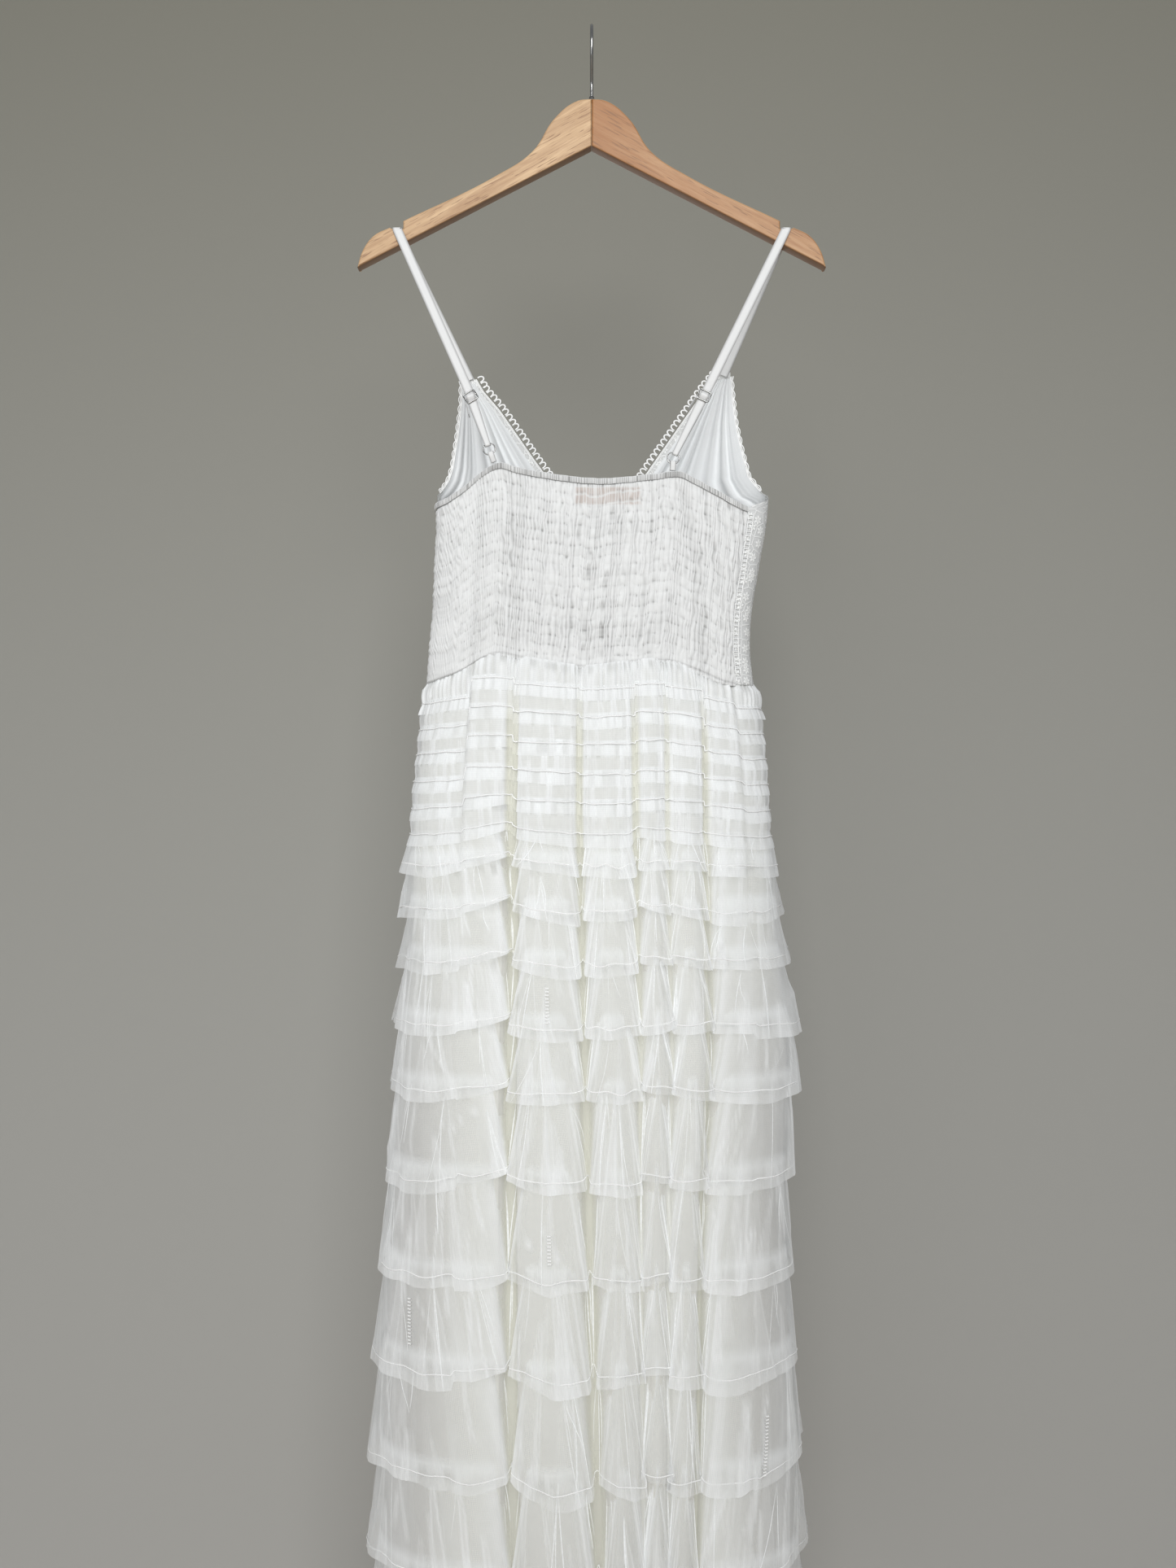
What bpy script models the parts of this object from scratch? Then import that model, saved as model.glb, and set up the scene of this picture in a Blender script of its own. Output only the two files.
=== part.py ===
"""A tiered tulle maxi dress with a smocked back and a V neck, hanging by its straps on a wooden hanger.

Blender units are metres and +Z is up. The tables and the functions that read them are in millimetres,
with heights given as a drop below the rail, and add_wall and the other makers turn them into metres.
The origin is the inside top of the hook, where a rail carries it. The wearer's front faces -Y, so the
smocked back faces +Y, and +X is the wearer's left.
"""

import math

import bmesh
import bpy
import numpy as np
from mathutils import Matrix, Vector

MM = 0.001
GAP = 0.3  # between pieces that are sewn to each other or rest on each other

# Cloth and trim thicknesses
SMOCKED = 1.2
LACE = 1.2
SATIN = 1.0
TULLE = 1.0
UNDERSKIRT = 1.2
ELASTIC = 1.0

# Bodice: half-widths to each side and depths to the back and front of its sections
SECTION_COLUMNS = ("drop", "left", "right", "back", "front")
BODICE_SECTIONS = (
    (315, 160, 168, 30, 33),
    (380, 152, 168, 34, 42),
    (442, 148.5, 169.5, 38, 50),
    (470, 147.5, 167.5, 39, 55),
    (516, 149, 160, 39, 57),
    (563, 151.5, 152.5, 38, 50),
    (595, 154, 151.5, 37, 44),
    (628, 157, 155, 38, 42),
)
BACK_ROUNDNESS = 3.2  # exponents of the sections' superellipses
FRONT_ROUNDNESS = 2.4
WAIST = 627
FRONT_WAIST = ((-156, 628.7), (157, 627))

# Edges of the back panel: x and drop, from the wearer's right to the left
BACK_TOP = (
    (-144, 464),
    (-127, 458),
    (-110, 449),
    (-88, 438),
    (-75, 431.7),
    (-56, 433.7),
    (-4, 438.5),
    (46, 433.3),
    (72, 428),
    (91, 423.5),
    (104, 430.5),
    (121, 444),
    (139, 454),
    (149, 456),
)
BACK_WAIST = (
    (-156, 628.7),
    (-127, 627),
    (-99, 616),
    (-73, 607.4),
    (-56, 606.6),
    (8, 612.7),
    (64, 604.3),
    (91, 600.5),
    (120, 615.3),
    (157, 627),
)
BAND_HEIGHT = 6
BAND_THICKNESS = 2
BAND_BULGE = 0.6
SMOCKING_ROWS = 18
SMOCKING_HEIGHT = 1.5
SMOCKING_GROOVE = 0.2
FLAT_PUCKER = 0.55  # height of every other pucker
SMOCKED_COLUMNS = 17
MID_BACK = 520  # drop at which the columns of the back panel are spaced
LEFT_SEAM = 90  # degrees round the section from the centre front
RIGHT_SEAM = 233
SEAM_TRIM = 0.35

# Fronts: drop and x of the neckline and armhole edges
NECK_LEFT = ((323, 116), (337, 107.5), (354, 92), (380, 73), (400, 58.6), (414, 48), (470, 3), (628, -112))
NECK_RIGHT = ((318, -126), (334, -112.4), (412, -56.3), (487, -2), (550, 42), (628, 100))
ARMHOLE_LEFT = ((323, 127), (350, 127.7), (381, 131.6), (412, 136.3), (425, 140), (439, 147))
ARMHOLE_RIGHT = ((318, -135.5), (340, -137.6), (367, -141), (392, -146.5), (421, -154), (439, -166))
UNDERARM = 446
RIGHT_SEAM_TOP = 465
FRONT_COLUMNS = 10
FRONT_ROWS = (0, 0.1, 0.2, 0.3, 0.4, 0.43, 0.465, 0.5, 0.6, 0.7, 0.8, 0.9, 1)  # shares of the way down
SEAM_SHAPED_FROM = 0.6  # share of the way down from which the rows take the shape of the waist seam
LINING_TOP_INSET = 6
LINING_NECK_INSET = ((0, 0.2), (2.5, 7))  # shares of the way down, and the insets there
LINING_SIDE_INSET = 1.5
LINING_BOTTOM_INSET = 3
LINING_CURL = (1.8, 1.4, 0.7)  # how far its columns at the outer edge turn in from the front
OVERLAP_FROM = -150
OVERLAP_RISE = 30
OVERLAP_STEP = 3.8  # how far the right front stands off the left one, with its lining between
TRIM_RUNS = {"neck": (0.02, 0.97, 24), "armhole": (0.03, 0.38, 22)}  # shares of the way down, and steps
TRIM_WIDTH = 3
TRIM_THICKNESS = 1.2
SCALLOP_PITCH = 9
SCALLOP_DEPTH = 1.2

# Neck label, inside the back
LABEL_RIGHT = -46.5
LABEL_LEFT = 17
LABEL_TOP = 445
LABEL_HEIGHT = 17
LABEL_THICKNESS = 0.8

# Straps and their metal
STRAP_WIDTH = 10
STRAP_AT_RING = 6.6
STRAP_WIDENS = 14  # over this length from the ring
STRAP_COLUMNS = ("name", "notch", "slider", "ring", "band")
STRAPS = (
    ("left", (185.5, 191.4), (113.5, 27, 359), (95.4, 35, 410.5), 91),
    ("right", (-185.5, 191.4), (-105.3, 27, 358), (-75.7, 36, 419), -75),
)
STRAP_SEWN = 4  # length of a strap's lower end that lies inside its front
RING_RADIUS = 5.6
RING_WIRE = 0.6
RING_STEPS = 20
LOOP_TURN = 1.45  # radius of the strap's and the tab's turns round the ring's wire
LOOP_CENTRE = 4.4  # from the ring's centre to the centre of such a turn
SLIDER_WIDTH = 13
SLIDER_HEIGHT = 10.5
SLIDER_WIRE = 0.65
WEAVE_DEPTH = 1.7  # how far the strap passes behind and before the slider's bars
WEAVE_STEPS = (4.2, 1.0)  # where along the slider it goes behind an outer bar and before the middle one
BELOW_SLIDER = 7.4
STRAP_END = 11.5  # where the returning end of the strap stops below the slider
TAIL_LENGTH = 11
TAIL_BESIDE = 6.4
TAIL_WIDTH = 7
TAB_WIDTH = 6
TAB_LEG = 2.4  # how far its legs stay apart below the ring

# Skirt: half-widths and depths of the underskirt
SKIRT_SECTIONS = (
    (627, 157, 155, 38, 42),
    (660, 160, 159, 44, 46),
    (770, 167, 165, 56, 56),
    (860, 168, 171, 61, 60),
    (960, 178, 182, 66, 64),
    (1100, 186, 179, 71, 68),
    (1290, 194, 187, 76, 72),
    (1475, 198, 192, 79, 76),
    (1560, 200, 194, 80, 77),
)
SKIRT_ROUNDNESS = 2.5
# The rolls of the skirt between its deep folds, as the x of both edges near the waist and near the hem,
# the columns of cloth across each roll, and the depth of the fold after it
ROLL_COLUMNS = ("spans", "upper_from", "upper_to", "lower_from", "lower_to", "upper_fold", "lower_fold")
BACK_ROLLS = (
    (5, 168, 84, 198, 80, 16, 16),
    (2, 68, 20, 62, 6, 16, 20),
    (2, 4, -33, -22, -42, 14, 4),
    (1, -49, -64, -52, -64, 10, 4),
    (1, -78, -100, -72, -87, 15, 15),
    (3, -116, -166, -103, -192, 0, 0),
)
FRONT_ROLLS = (
    (4, -166, -94, -192, -98, 14, 14),
    (3, -78, -18, -82, -28, 16, 16),
    (2, -4, 36, -12, 28, 12, 8),
    (3, 50, 98, 44, 92, 15, 16),
    (4, 112, 168, 108, 198, 0, 0),
)
UPPER_ROLLS_DROP = 750
LOWER_ROLLS_DROP = 1475
ROLL_CREST = 7
FOLDS_AT_WAIST = 0.35
FOLDS_FULL_DROP = 765
WAIST_ARCH_ENDS = 830
WAIST_PARTING = 1.3
STEEPEST = 2.2  # how much a wall on the side of a deep fold may be thickened along its column
UNDERSKIRT_ROWS = (645, 669, 693, 717, 741, 765, 782, 822, 868, 926, 984, 1150, 1328, 1528)
BACK_SPANS = 24
SKIRT_SPANS = 48

# Ruffles and tiers
FIRST_STITCH = 648
RUFFLE_PITCH = 24.1
RUFFLES = 6
RUFFLE_HEADER = 3
RUFFLE_OVERLAP = 10.4
RUFFLE_FLARE = 5.5
RUFFLE_WAVE = 2
RUFFLE_WAVES = 8
TIER_HEMS = (804, 844, 890, 948, 1006, 1085, 1172, 1255, 1350, 1440, 1535)
TIER_OVERLAP = 22
TIER_FLARE = 9
TIER_WAVE = 4.5
TIER_WAVES = 12
HEM_SWAY = 2.5
SWAY_WAVES = 3
WAVE_SHIFT = 0.125  # of a wave, from each ruffle or tier to the next
SEWN_DEPTH = 4  # the length at the top of each that lies close to the underskirt
LEAST_CLEARANCE = 1.3

# Hanger: outline of its left half as x, drop and whether the outline turns a corner there
HANGER_THICKNESS = 12
HANGER_EDGE = 1.5
HANGER_OUTLINE = (
    (0, 67.4, "corner"),
    (14.4, 69.5, "round"),
    (35, 85.4, "round"),
    (56.8, 117.6, "round"),
    (90.4, 140.2, "round"),
    (180, 184, "corner"),
    (180, 191.4, "corner"),
    (191.2, 191.4, "corner"),
    (193, 190.3, "corner"),
    (208.2, 198.1, "round"),
    (218.4, 211.6, "round"),
    (223.9, 228.3, "corner"),
    (0, 112.4, "corner"),
)
HOOK_WIRE = 1.6
HOOK_RADIUS = 21
HOOK_SHANK_TOP = 53
HOOK_LEAVES_CIRCLE = -50  # degrees from +Y round the hook's circle
HOOK_ENDS = 205
HOOK_BEND = 6.6


def smooth(at, rows, column):
    """The named column of a table of sections, read on a smooth curve at each drop."""
    table = np.array(rows, float)
    drops = table[:, 0]
    values = table[:, SECTION_COLUMNS.index(column)]
    slopes = np.gradient(values, drops)
    at = np.clip(np.asarray(at, float), drops[0], drops[-1])
    i = np.clip(np.searchsorted(drops, at) - 1, 0, len(drops) - 2)
    span = drops[i + 1] - drops[i]
    t = (at - drops[i]) / span
    start = (1 + 2 * t) * (1 - t) ** 2 * values[i] + t * (1 - t) ** 2 * span * slopes[i]
    end = t * t * (3 - 2 * t) * values[i + 1] + t * t * (t - 1) * span * slopes[i + 1]
    return start + end


def along(table, at):
    """The second column of a short table, read at a value of the first."""
    rows = np.array(table, float)
    return np.interp(at, rows[:, 0], rows[:, 1])


def ease(t):
    t = np.clip(t, 0, 1)
    return t * t * (3 - 2 * t)


def oval_point(rows, drop, angle, roundness):
    """A point of a section, at an angle in degrees from the centre front towards the wearer's left."""
    a = np.radians(angle)
    front, back = roundness
    on_back = np.cos(a) < 0
    power = 2 / np.where(on_back, back, front)
    width = np.where(np.sin(a) > 0, smooth(drop, rows, "left"), smooth(drop, rows, "right"))
    depth = np.where(on_back, smooth(drop, rows, "back"), smooth(drop, rows, "front"))
    x = np.sign(np.sin(a)) * width * np.abs(np.sin(a)) ** power
    y = -np.sign(np.cos(a)) * depth * np.abs(np.cos(a)) ** power
    return np.stack([x, y], axis=-1)


def bodice_arc(drop, start, end, count, trim=0.0):
    """Points evenly spaced round a section of the bodice between two angles, with outward directions."""
    angles = np.linspace(start, end, 400)
    dense = oval_point(BODICE_SECTIONS, drop, angles, (FRONT_ROUNDNESS, BACK_ROUNDNESS))
    length = np.concatenate([[0], np.cumsum(np.linalg.norm(np.diff(dense, axis=0), axis=1))])
    at = np.linspace(trim, length[-1] - trim, count)
    points = np.stack([np.interp(at, length, dense[:, k]) for k in range(2)], axis=1)
    step = 0.5
    ahead = np.stack([np.interp(at + step, length, dense[:, k]) for k in range(2)], axis=1)
    behind = np.stack([np.interp(at - step, length, dense[:, k]) for k in range(2)], axis=1)
    tangent = ahead - behind
    tangent /= np.linalg.norm(tangent, axis=1, keepdims=True)
    normal = np.stack([tangent[:, 1], -tangent[:, 0]], axis=1)
    outward = np.sign((normal * points).sum(axis=1, keepdims=True).sum())
    return points, normal * outward


def front_angle(drop, x):
    """The angle at which a section's front has this x."""
    width = smooth(drop, BODICE_SECTIONS, "left" if x > 0 else "right")
    share = min(abs(x) / width, 1.0)
    return math.copysign(math.degrees(math.asin(share ** (FRONT_ROUNDNESS / 2))), x)


def waist_drop(x, y):
    """Where the waist seam lies."""
    return np.where(y > 0, along(BACK_WAIST, x), along(FRONT_WAIST, x))


def material(name, colour, roughness, metallic=0.0):
    """A plain finish with the piece's own colour."""
    made = bpy.data.materials.get(name) or bpy.data.materials.new(name)
    made.use_nodes = True
    shader = made.node_tree.nodes["Principled BSDF"]
    shader.inputs["Base Color"].default_value = (*colour, 1)
    shader.inputs["Roughness"].default_value = roughness
    shader.inputs["Metallic"].default_value = metallic
    return made


def add_object(name, data, finish):
    """Puts a piece in the dress's collection."""
    piece = bpy.data.objects.new(name, data)
    bpy.data.collections["dress_on_hanger"].objects.link(piece)
    piece.data.materials.append(finish)
    return piece


def add_wall(name, outer, inner, finish, closed=False):
    """A cloth wall between two grids of points in millimetres, from the top down; closed goes round."""
    bm = bmesh.new()
    sheets = [
        [[bm.verts.new(Vector(point) * MM) for point in row] for row in grid] for grid in (outer, inner)
    ]
    rows = len(outer)
    columns = len(outer[0])
    spans = columns if closed else columns - 1
    for sheet in sheets:
        for r in range(rows - 1):
            for c in range(spans):
                d = (c + 1) % columns
                bm.faces.new((sheet[r][c], sheet[r][d], sheet[r + 1][c]))
                bm.faces.new((sheet[r][d], sheet[r + 1][d], sheet[r + 1][c]))
    for r in (0, rows - 1):
        for c in range(spans):
            d = (c + 1) % columns
            bm.faces.new((sheets[0][r][c], sheets[0][r][d], sheets[1][r][d], sheets[1][r][c]))
    if not closed:
        for c in (0, columns - 1):
            for r in range(rows - 1):
                bm.faces.new((sheets[0][r][c], sheets[0][r + 1][c], sheets[1][r + 1][c], sheets[1][r][c]))
    bmesh.ops.recalc_face_normals(bm, faces=bm.faces)
    mesh = bpy.data.meshes.new(name)
    bm.to_mesh(mesh)
    bm.free()
    mesh.shade_smooth()
    mesh.set_sharp_from_angle(angle=math.radians(50))
    return add_object(name, mesh, finish)


def add_ribbon(name, path, normals, widths, thickness, finish):
    """A flat strap along a path in millimetres, its face turned to each point's normal."""
    path = np.array(path, float)
    normals = np.array(normals, float)
    tangents = np.gradient(path, axis=0)
    sides = np.cross(tangents, normals)
    sides /= np.linalg.norm(sides, axis=1, keepdims=True)
    normals = np.cross(sides, tangents)
    normals /= np.linalg.norm(normals, axis=1, keepdims=True)
    half = sides * np.asarray(widths, float).reshape(-1, 1) / 2
    lift = normals * thickness / 2
    outer = np.stack([path - half + lift, path + half + lift], axis=1)
    inner = np.stack([path - half - lift, path + half - lift], axis=1)
    return add_wall(name, outer, inner, finish)


def lift(points, normals, drops, amount):
    """Points of a section moved out by an amount, with their heights."""
    moved = points + normals * np.asarray(amount, float).reshape(-1, 1)
    return np.column_stack([moved, -np.asarray(drops, float)])


# Bodice


def back_grid():
    """The back panel's plain surface and outward directions, in lines from under its band to the waist."""
    middle, _ = bodice_arc(MID_BACK, LEFT_SEAM, RIGHT_SEAM, SMOCKED_COLUMNS, SEAM_TRIM)
    top = along(BACK_TOP, middle[:, 0])
    waist = along(BACK_WAIST, middle[:, 0])
    panel_top = top + BAND_HEIGHT + GAP
    lines = [panel_top + share * (waist - panel_top) for share in np.linspace(0, 1, 2 * SMOCKING_ROWS)]
    points = []
    normals = []
    for drops in (top, top + BAND_HEIGHT, *lines):
        found = [bodice_arc(drop, LEFT_SEAM, RIGHT_SEAM, SMOCKED_COLUMNS, SEAM_TRIM) for drop in drops]
        points.append([(*row[0][i], -drops[i]) for i, row in enumerate(found)])
        normals.append([(*row[1][i], 0.0) for i, row in enumerate(found)])
    return np.array(points), np.array(normals)


def add_back(smocked, label_finish):
    """The smocked panel, the elastic band on its top edge and the blank label inside it."""
    points, normals = back_grid()
    band, band_normals = points[:2], normals[:2]
    middle = band.mean(axis=0) + band_normals[0] * (BAND_THICKNESS - SMOCKED + BAND_BULGE)
    outer = [band[0] + band_normals[0] * (BAND_THICKNESS - SMOCKED), middle]
    outer.append(band[1] + band_normals[1] * (BAND_THICKNESS - SMOCKED))
    inner = [band[0] - band_normals[0] * SMOCKED]
    inner.append(band.mean(axis=0) - band_normals[0] * SMOCKED)
    inner.append(band[1] - band_normals[1] * SMOCKED)
    add_wall("back_band", outer, inner, smocked)

    panel, panel_normals = points[2:], normals[2:]
    pucker = np.where(np.arange(SMOCKED_COLUMNS) % 2 == 0, 1, FLAT_PUCKER)
    raised = np.full(panel.shape[:2], SMOCKING_GROOVE)
    for row in range(SMOCKING_ROWS - 1):
        raised[2 * row + 1] = SMOCKING_HEIGHT * (pucker if row % 2 == 0 else pucker[::-1])
    outer = panel + panel_normals * raised[:, :, None]
    inner = panel - panel_normals * SMOCKED
    add_wall("back_bodice", outer, inner, smocked)

    add_label(inner, panel_normals, label_finish)


def add_label(inside, normals, finish):
    """The label, on the inside of the back panel."""
    rows = []
    for drop in (LABEL_TOP, LABEL_TOP + LABEL_HEIGHT):
        line = int(np.abs(inside[:, SMOCKED_COLUMNS // 2, 2] + drop).argmin())
        across = inside[line]
        inner_columns = [c for c in across[:, 0] if LABEL_RIGHT < c < LABEL_LEFT]
        xs = np.array([LABEL_LEFT, *inner_columns, LABEL_RIGHT])
        place = np.stack([np.interp(-xs, -across[:, 0], across[:, k]) for k in range(3)], axis=1)
        facing = np.stack([np.interp(-xs, -across[:, 0], normals[line][:, k]) for k in range(3)], axis=1)
        rows.append((place, facing))
    outer = [place - facing * GAP for place, facing in rows]
    inner = [place - facing * (GAP + LABEL_THICKNESS) for place, facing in rows]
    add_wall("neck_label", outer, inner, finish)


def front_edges(side, drop):
    """The angles of a front's outer edge (armhole, then side seam) and inner edge (neckline) at a drop."""
    if side == "left":
        inner = front_angle(drop, along(NECK_LEFT, drop))
        free = front_angle(drop, along(ARMHOLE_LEFT, drop))
        last = ARMHOLE_LEFT[-1][0]
        outer = free + (LEFT_SEAM - free) * ease((drop - last) / (UNDERARM - last))
        return outer, inner
    inner = front_angle(drop, along(NECK_RIGHT, drop))
    free = front_angle(drop, along(ARMHOLE_RIGHT, drop))
    last = ARMHOLE_RIGHT[-1][0]
    outer = free + (-LEFT_SEAM - free) * ease((drop - last) / (UNDERARM - last))
    seam = RIGHT_SEAM - 360
    outer += (seam - outer) * ease((drop - UNDERARM) / (RIGHT_SEAM_TOP - UNDERARM))
    return outer, inner


def stand_off(side, points):
    """How far a front stands off the other one: nothing at its own side seam, full from the centre on."""
    if side == "left":
        return np.zeros(points.shape[:-1])
    across = points[..., 0] - OVERLAP_FROM
    return OVERLAP_STEP * ease(across / OVERLAP_RISE) * (points[..., 1] < 0)


def front_grid(side):
    """A front's outside from its apex under the strap to the waist, and its outward directions."""
    apex = (NECK_LEFT if side == "left" else NECK_RIGHT)[0][0]
    grid = []
    directions = []
    for share in FRONT_ROWS:
        drop = apex + (WAIST - apex) * share
        outer, inner = front_edges(side, drop)
        points, normals = bodice_arc(drop, outer, inner, FRONT_COLUMNS)
        if drop > UNDERARM:
            length = np.linalg.norm(points[1] - points[0])
            points[0] += (points[1] - points[0]) * SEAM_TRIM / length
        seam = waist_drop(points[:, 0], points[:, 1])
        drops = drop + (seam - WAIST) * ease((share - SEAM_SHAPED_FROM) / (1 - SEAM_SHAPED_FROM))
        grid.append(np.column_stack([points, -drops]))
        directions.append(np.column_stack([normals, np.zeros(FRONT_COLUMNS)]))
    grid = np.array(grid)
    directions = np.array(directions)
    return grid + directions * stand_off(side, grid)[:, :, None], directions


def inset(values, grid, first, last):
    """Values on a grid's rows, with the first and last rows moved in by a length along their columns."""
    moved = values.copy()
    for edge, beside, amount in ((0, 1, first), (-1, -2, last)):
        length = np.linalg.norm(grid[edge] - grid[beside], axis=1)
        share = np.minimum(np.asarray(amount) / length, 0.8)[:, None]
        moved[edge] = values[edge] * (1 - share) + values[beside] * share
    return moved


def add_front(side, lace, satin):
    """A lace front and its satin lining, which ends a little short of the front's edges."""
    grid, normals = front_grid(side)
    add_wall("front_" + side, grid, grid - normals * LACE, lace)

    def shortened(values):
        rows = inset(values, grid, LINING_TOP_INSET, LINING_BOTTOM_INSET)
        turned = np.swapaxes(grid, 0, 1)
        from_neck = np.interp(FRONT_ROWS, LINING_NECK_INSET[0], LINING_NECK_INSET[1])
        return np.swapaxes(inset(np.swapaxes(rows, 0, 1), turned, LINING_SIDE_INSET, from_neck), 0, 1)

    place = shortened(grid)
    facing = shortened(normals)
    beneath = np.full((len(FRONT_ROWS), FRONT_COLUMNS, 1), LACE + GAP)
    beneath[:, : len(LINING_CURL), 0] += LINING_CURL
    add_wall("lining_" + side, place - facing * beneath, place - facing * (beneath + SATIN), satin)
    add_trim(side, "neck", grid, normals, lace)
    add_trim(side, "armhole", grid, normals, lace)


def add_trim(side, edge, grid, normals, finish):
    """The braid along a front's neckline, or the scalloped lace along its armhole."""
    at, beside = (-1, -2) if edge == "neck" else (0, 1)
    middle = grid - normals * LACE / 2
    corners = middle[:, at]
    tangents = np.gradient(corners, axis=0)
    away = corners - middle[:, beside]
    away -= tangents * ((away * tangents).sum(1) / (tangents * tangents).sum(1))[:, None]
    away /= np.linalg.norm(away, axis=1, keepdims=True)
    shares = np.linspace(*TRIM_RUNS[edge])
    path, facing, away = (
        np.stack([np.interp(shares, FRONT_ROWS, values[:, k]) for k in range(3)], axis=1)
        for values in (corners, normals[:, at], away)
    )
    length = np.concatenate([[0], np.cumsum(np.linalg.norm(np.diff(path, axis=0), axis=1))])
    scallop = SCALLOP_DEPTH if edge == "armhole" else 0
    widths = TRIM_WIDTH + scallop * np.cos(2 * math.pi * length / SCALLOP_PITCH)
    near = path + away * GAP
    far = path + away * (GAP + widths[:, None])
    half = facing * TRIM_THICKNESS / 2
    outer = np.stack([near + half, far + half], axis=1)
    inner = np.stack([near - half, far - half], axis=1)
    add_wall(f"{edge}_trim_{side}", outer, inner, finish)


# Straps


def strap_frame(row):
    """A strap's places, its direction from slider to ring, and those across it and out of its face."""
    spec = dict(zip(STRAP_COLUMNS, row))
    for key in ("slider", "ring"):
        x, y, drop = spec[key]
        spec[key] = np.array([x, y, -drop])
    down = (spec["ring"] - spec["slider"]) / np.linalg.norm(spec["ring"] - spec["slider"])
    face = np.array([0.0, 1.0, 0.0]) - down * down[1]
    face /= np.linalg.norm(face)
    return spec, down, np.cross(down, face), face


def turn_round(centre, radius, first, second, start, end, steps):
    """Points of a turn, and their directions away from its centre."""
    angles = np.radians(np.linspace(start, end, steps))[:, None]
    away = first * np.cos(angles) + second * np.sin(angles)
    return centre + away * radius, away


def add_strap(row, finish):
    """A strap: up the front, over the notch, down through the slider, round the ring and back."""
    spec, down, _, face = strap_frame(row)
    notch_x, notch_drop = spec["notch"]
    slider, ring = spec["slider"], spec["ring"]
    back = np.array([0.0, 1.0, 0.0])
    up = np.array([0.0, 0.0, 1.0])
    corner = HANGER_EDGE + GAP + ELASTIC / 2
    shoulder = HANGER_THICKNESS / 2 - HANGER_EDGE
    top = -notch_drop - HANGER_EDGE
    front_foot = np.array([notch_x, -shoulder - corner, top])
    back_foot = np.array([notch_x, shoulder + corner, top])
    grid, facing = front_grid(spec["name"])
    outward = facing[0].mean(axis=0)
    front_top = grid[0].mean(axis=0) - outward * (LACE + 3 * GAP + ELASTIC / 2)
    below = (front_top - front_foot) * STRAP_SEWN / np.linalg.norm(front_top - front_foot)
    path = [front_top + below, *np.linspace(front_top, front_foot, 5)[:-1]]
    normals = [outward, outward] + [-back] * (len(path) - 2)
    for y, start, end in ((-shoulder, 180, 90), (shoulder, 90, 0)):
        points, away = turn_round(np.array([notch_x, y, top]), corner, back, up, start, end, 4)
        path.extend(points)
        normals.extend(away)
    outer_bar, middle_bar = WEAVE_STEPS
    weave = [
        slider + down * place + face * depth
        for place, depth in (
            (-SLIDER_HEIGHT, -WEAVE_DEPTH),
            (-outer_bar, -WEAVE_DEPTH),
            (-middle_bar, WEAVE_DEPTH),
            (middle_bar, WEAVE_DEPTH),
            (outer_bar, -WEAVE_DEPTH),
            (BELOW_SLIDER, -WEAVE_DEPTH),
        )
    ]
    path.extend(np.linspace(back_foot, weave[0], 6)[1:-1])
    path.extend(weave)
    normals.extend([face] * (len(path) - len(normals)))
    centre = ring - down * LOOP_CENTRE
    points, away = turn_round(centre, LOOP_TURN, face, down, 0, 180, 7)
    path.extend(points)
    normals.extend(away)
    path.append(slider + down * STRAP_END - face * (WEAVE_DEPTH + ELASTIC + 2 * GAP))
    normals.append(-face)
    near_ring = np.linalg.norm(np.array(path) - centre, axis=1)
    widths = STRAP_AT_RING + (STRAP_WIDTH - STRAP_AT_RING) * ease((near_ring - LOOP_TURN) / STRAP_WIDENS)
    return add_ribbon("strap_" + spec["name"], path, normals, widths, ELASTIC, finish)


def add_tail(row, finish):
    """The cut end of a strap, hanging edge-on beside it below the slider."""
    spec, down, across, _ = strap_frame(row)
    start = spec["slider"] + down * (SLIDER_HEIGHT / 2 + 3 * SLIDER_WIRE) + across * TAIL_BESIDE
    path = np.linspace(start, start + down * TAIL_LENGTH + across, 4)
    return add_ribbon("tail_" + spec["name"], path, [across] * 4, np.full(4, TAIL_WIDTH), ELASTIC, finish)


def add_tab(row, finish):
    """The fabric loop that holds the ring on the back band."""
    spec, _, _, face = strap_frame(row)
    ring = spec["ring"]
    edge = back_grid()[0][0]
    middle, left, right = (
        np.array([np.interp(-x, -edge[:, 0], edge[:, k]) for k in range(3)])
        for x in (spec["band"], spec["band"] + TAB_WIDTH / 2, spec["band"] - TAB_WIDTH / 2)
    )
    lean = abs(ring[0] - middle[0]) / (ring[2] - middle[2])
    rise = max(left[2], middle[2], right[2]) - middle[2] + lean * TAB_WIDTH / 2 + GAP
    foot = middle + np.array([0, 0, rise])
    drop = foot - ring
    drop -= face * (drop @ face)
    drop /= np.linalg.norm(drop)
    points, away = turn_round(ring + drop * LOOP_CENTRE, LOOP_TURN, face, -drop, 0, 180, 7)
    half = (ELASTIC + GAP) / 2
    straight = drop * TAB_LEG
    path = [foot + face * half, points[0] + straight, *points, points[-1] + straight, foot - face * half]
    normals = [face, face, *away, -face, -face]
    return add_ribbon("tab_" + spec["name"], path, normals, np.full(len(path), TAB_WIDTH), ELASTIC, finish)


def placed(piece, spec, place, across, down, face):
    """Puts a piece made in its own plane at a strap's place, in the strap's directions."""
    columns = (across, down, face, spec[place] * MM)
    piece.matrix_world = Matrix([[column[i] for column in columns] for i in range(3)] + [[0, 0, 0, 1]])
    return piece


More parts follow.
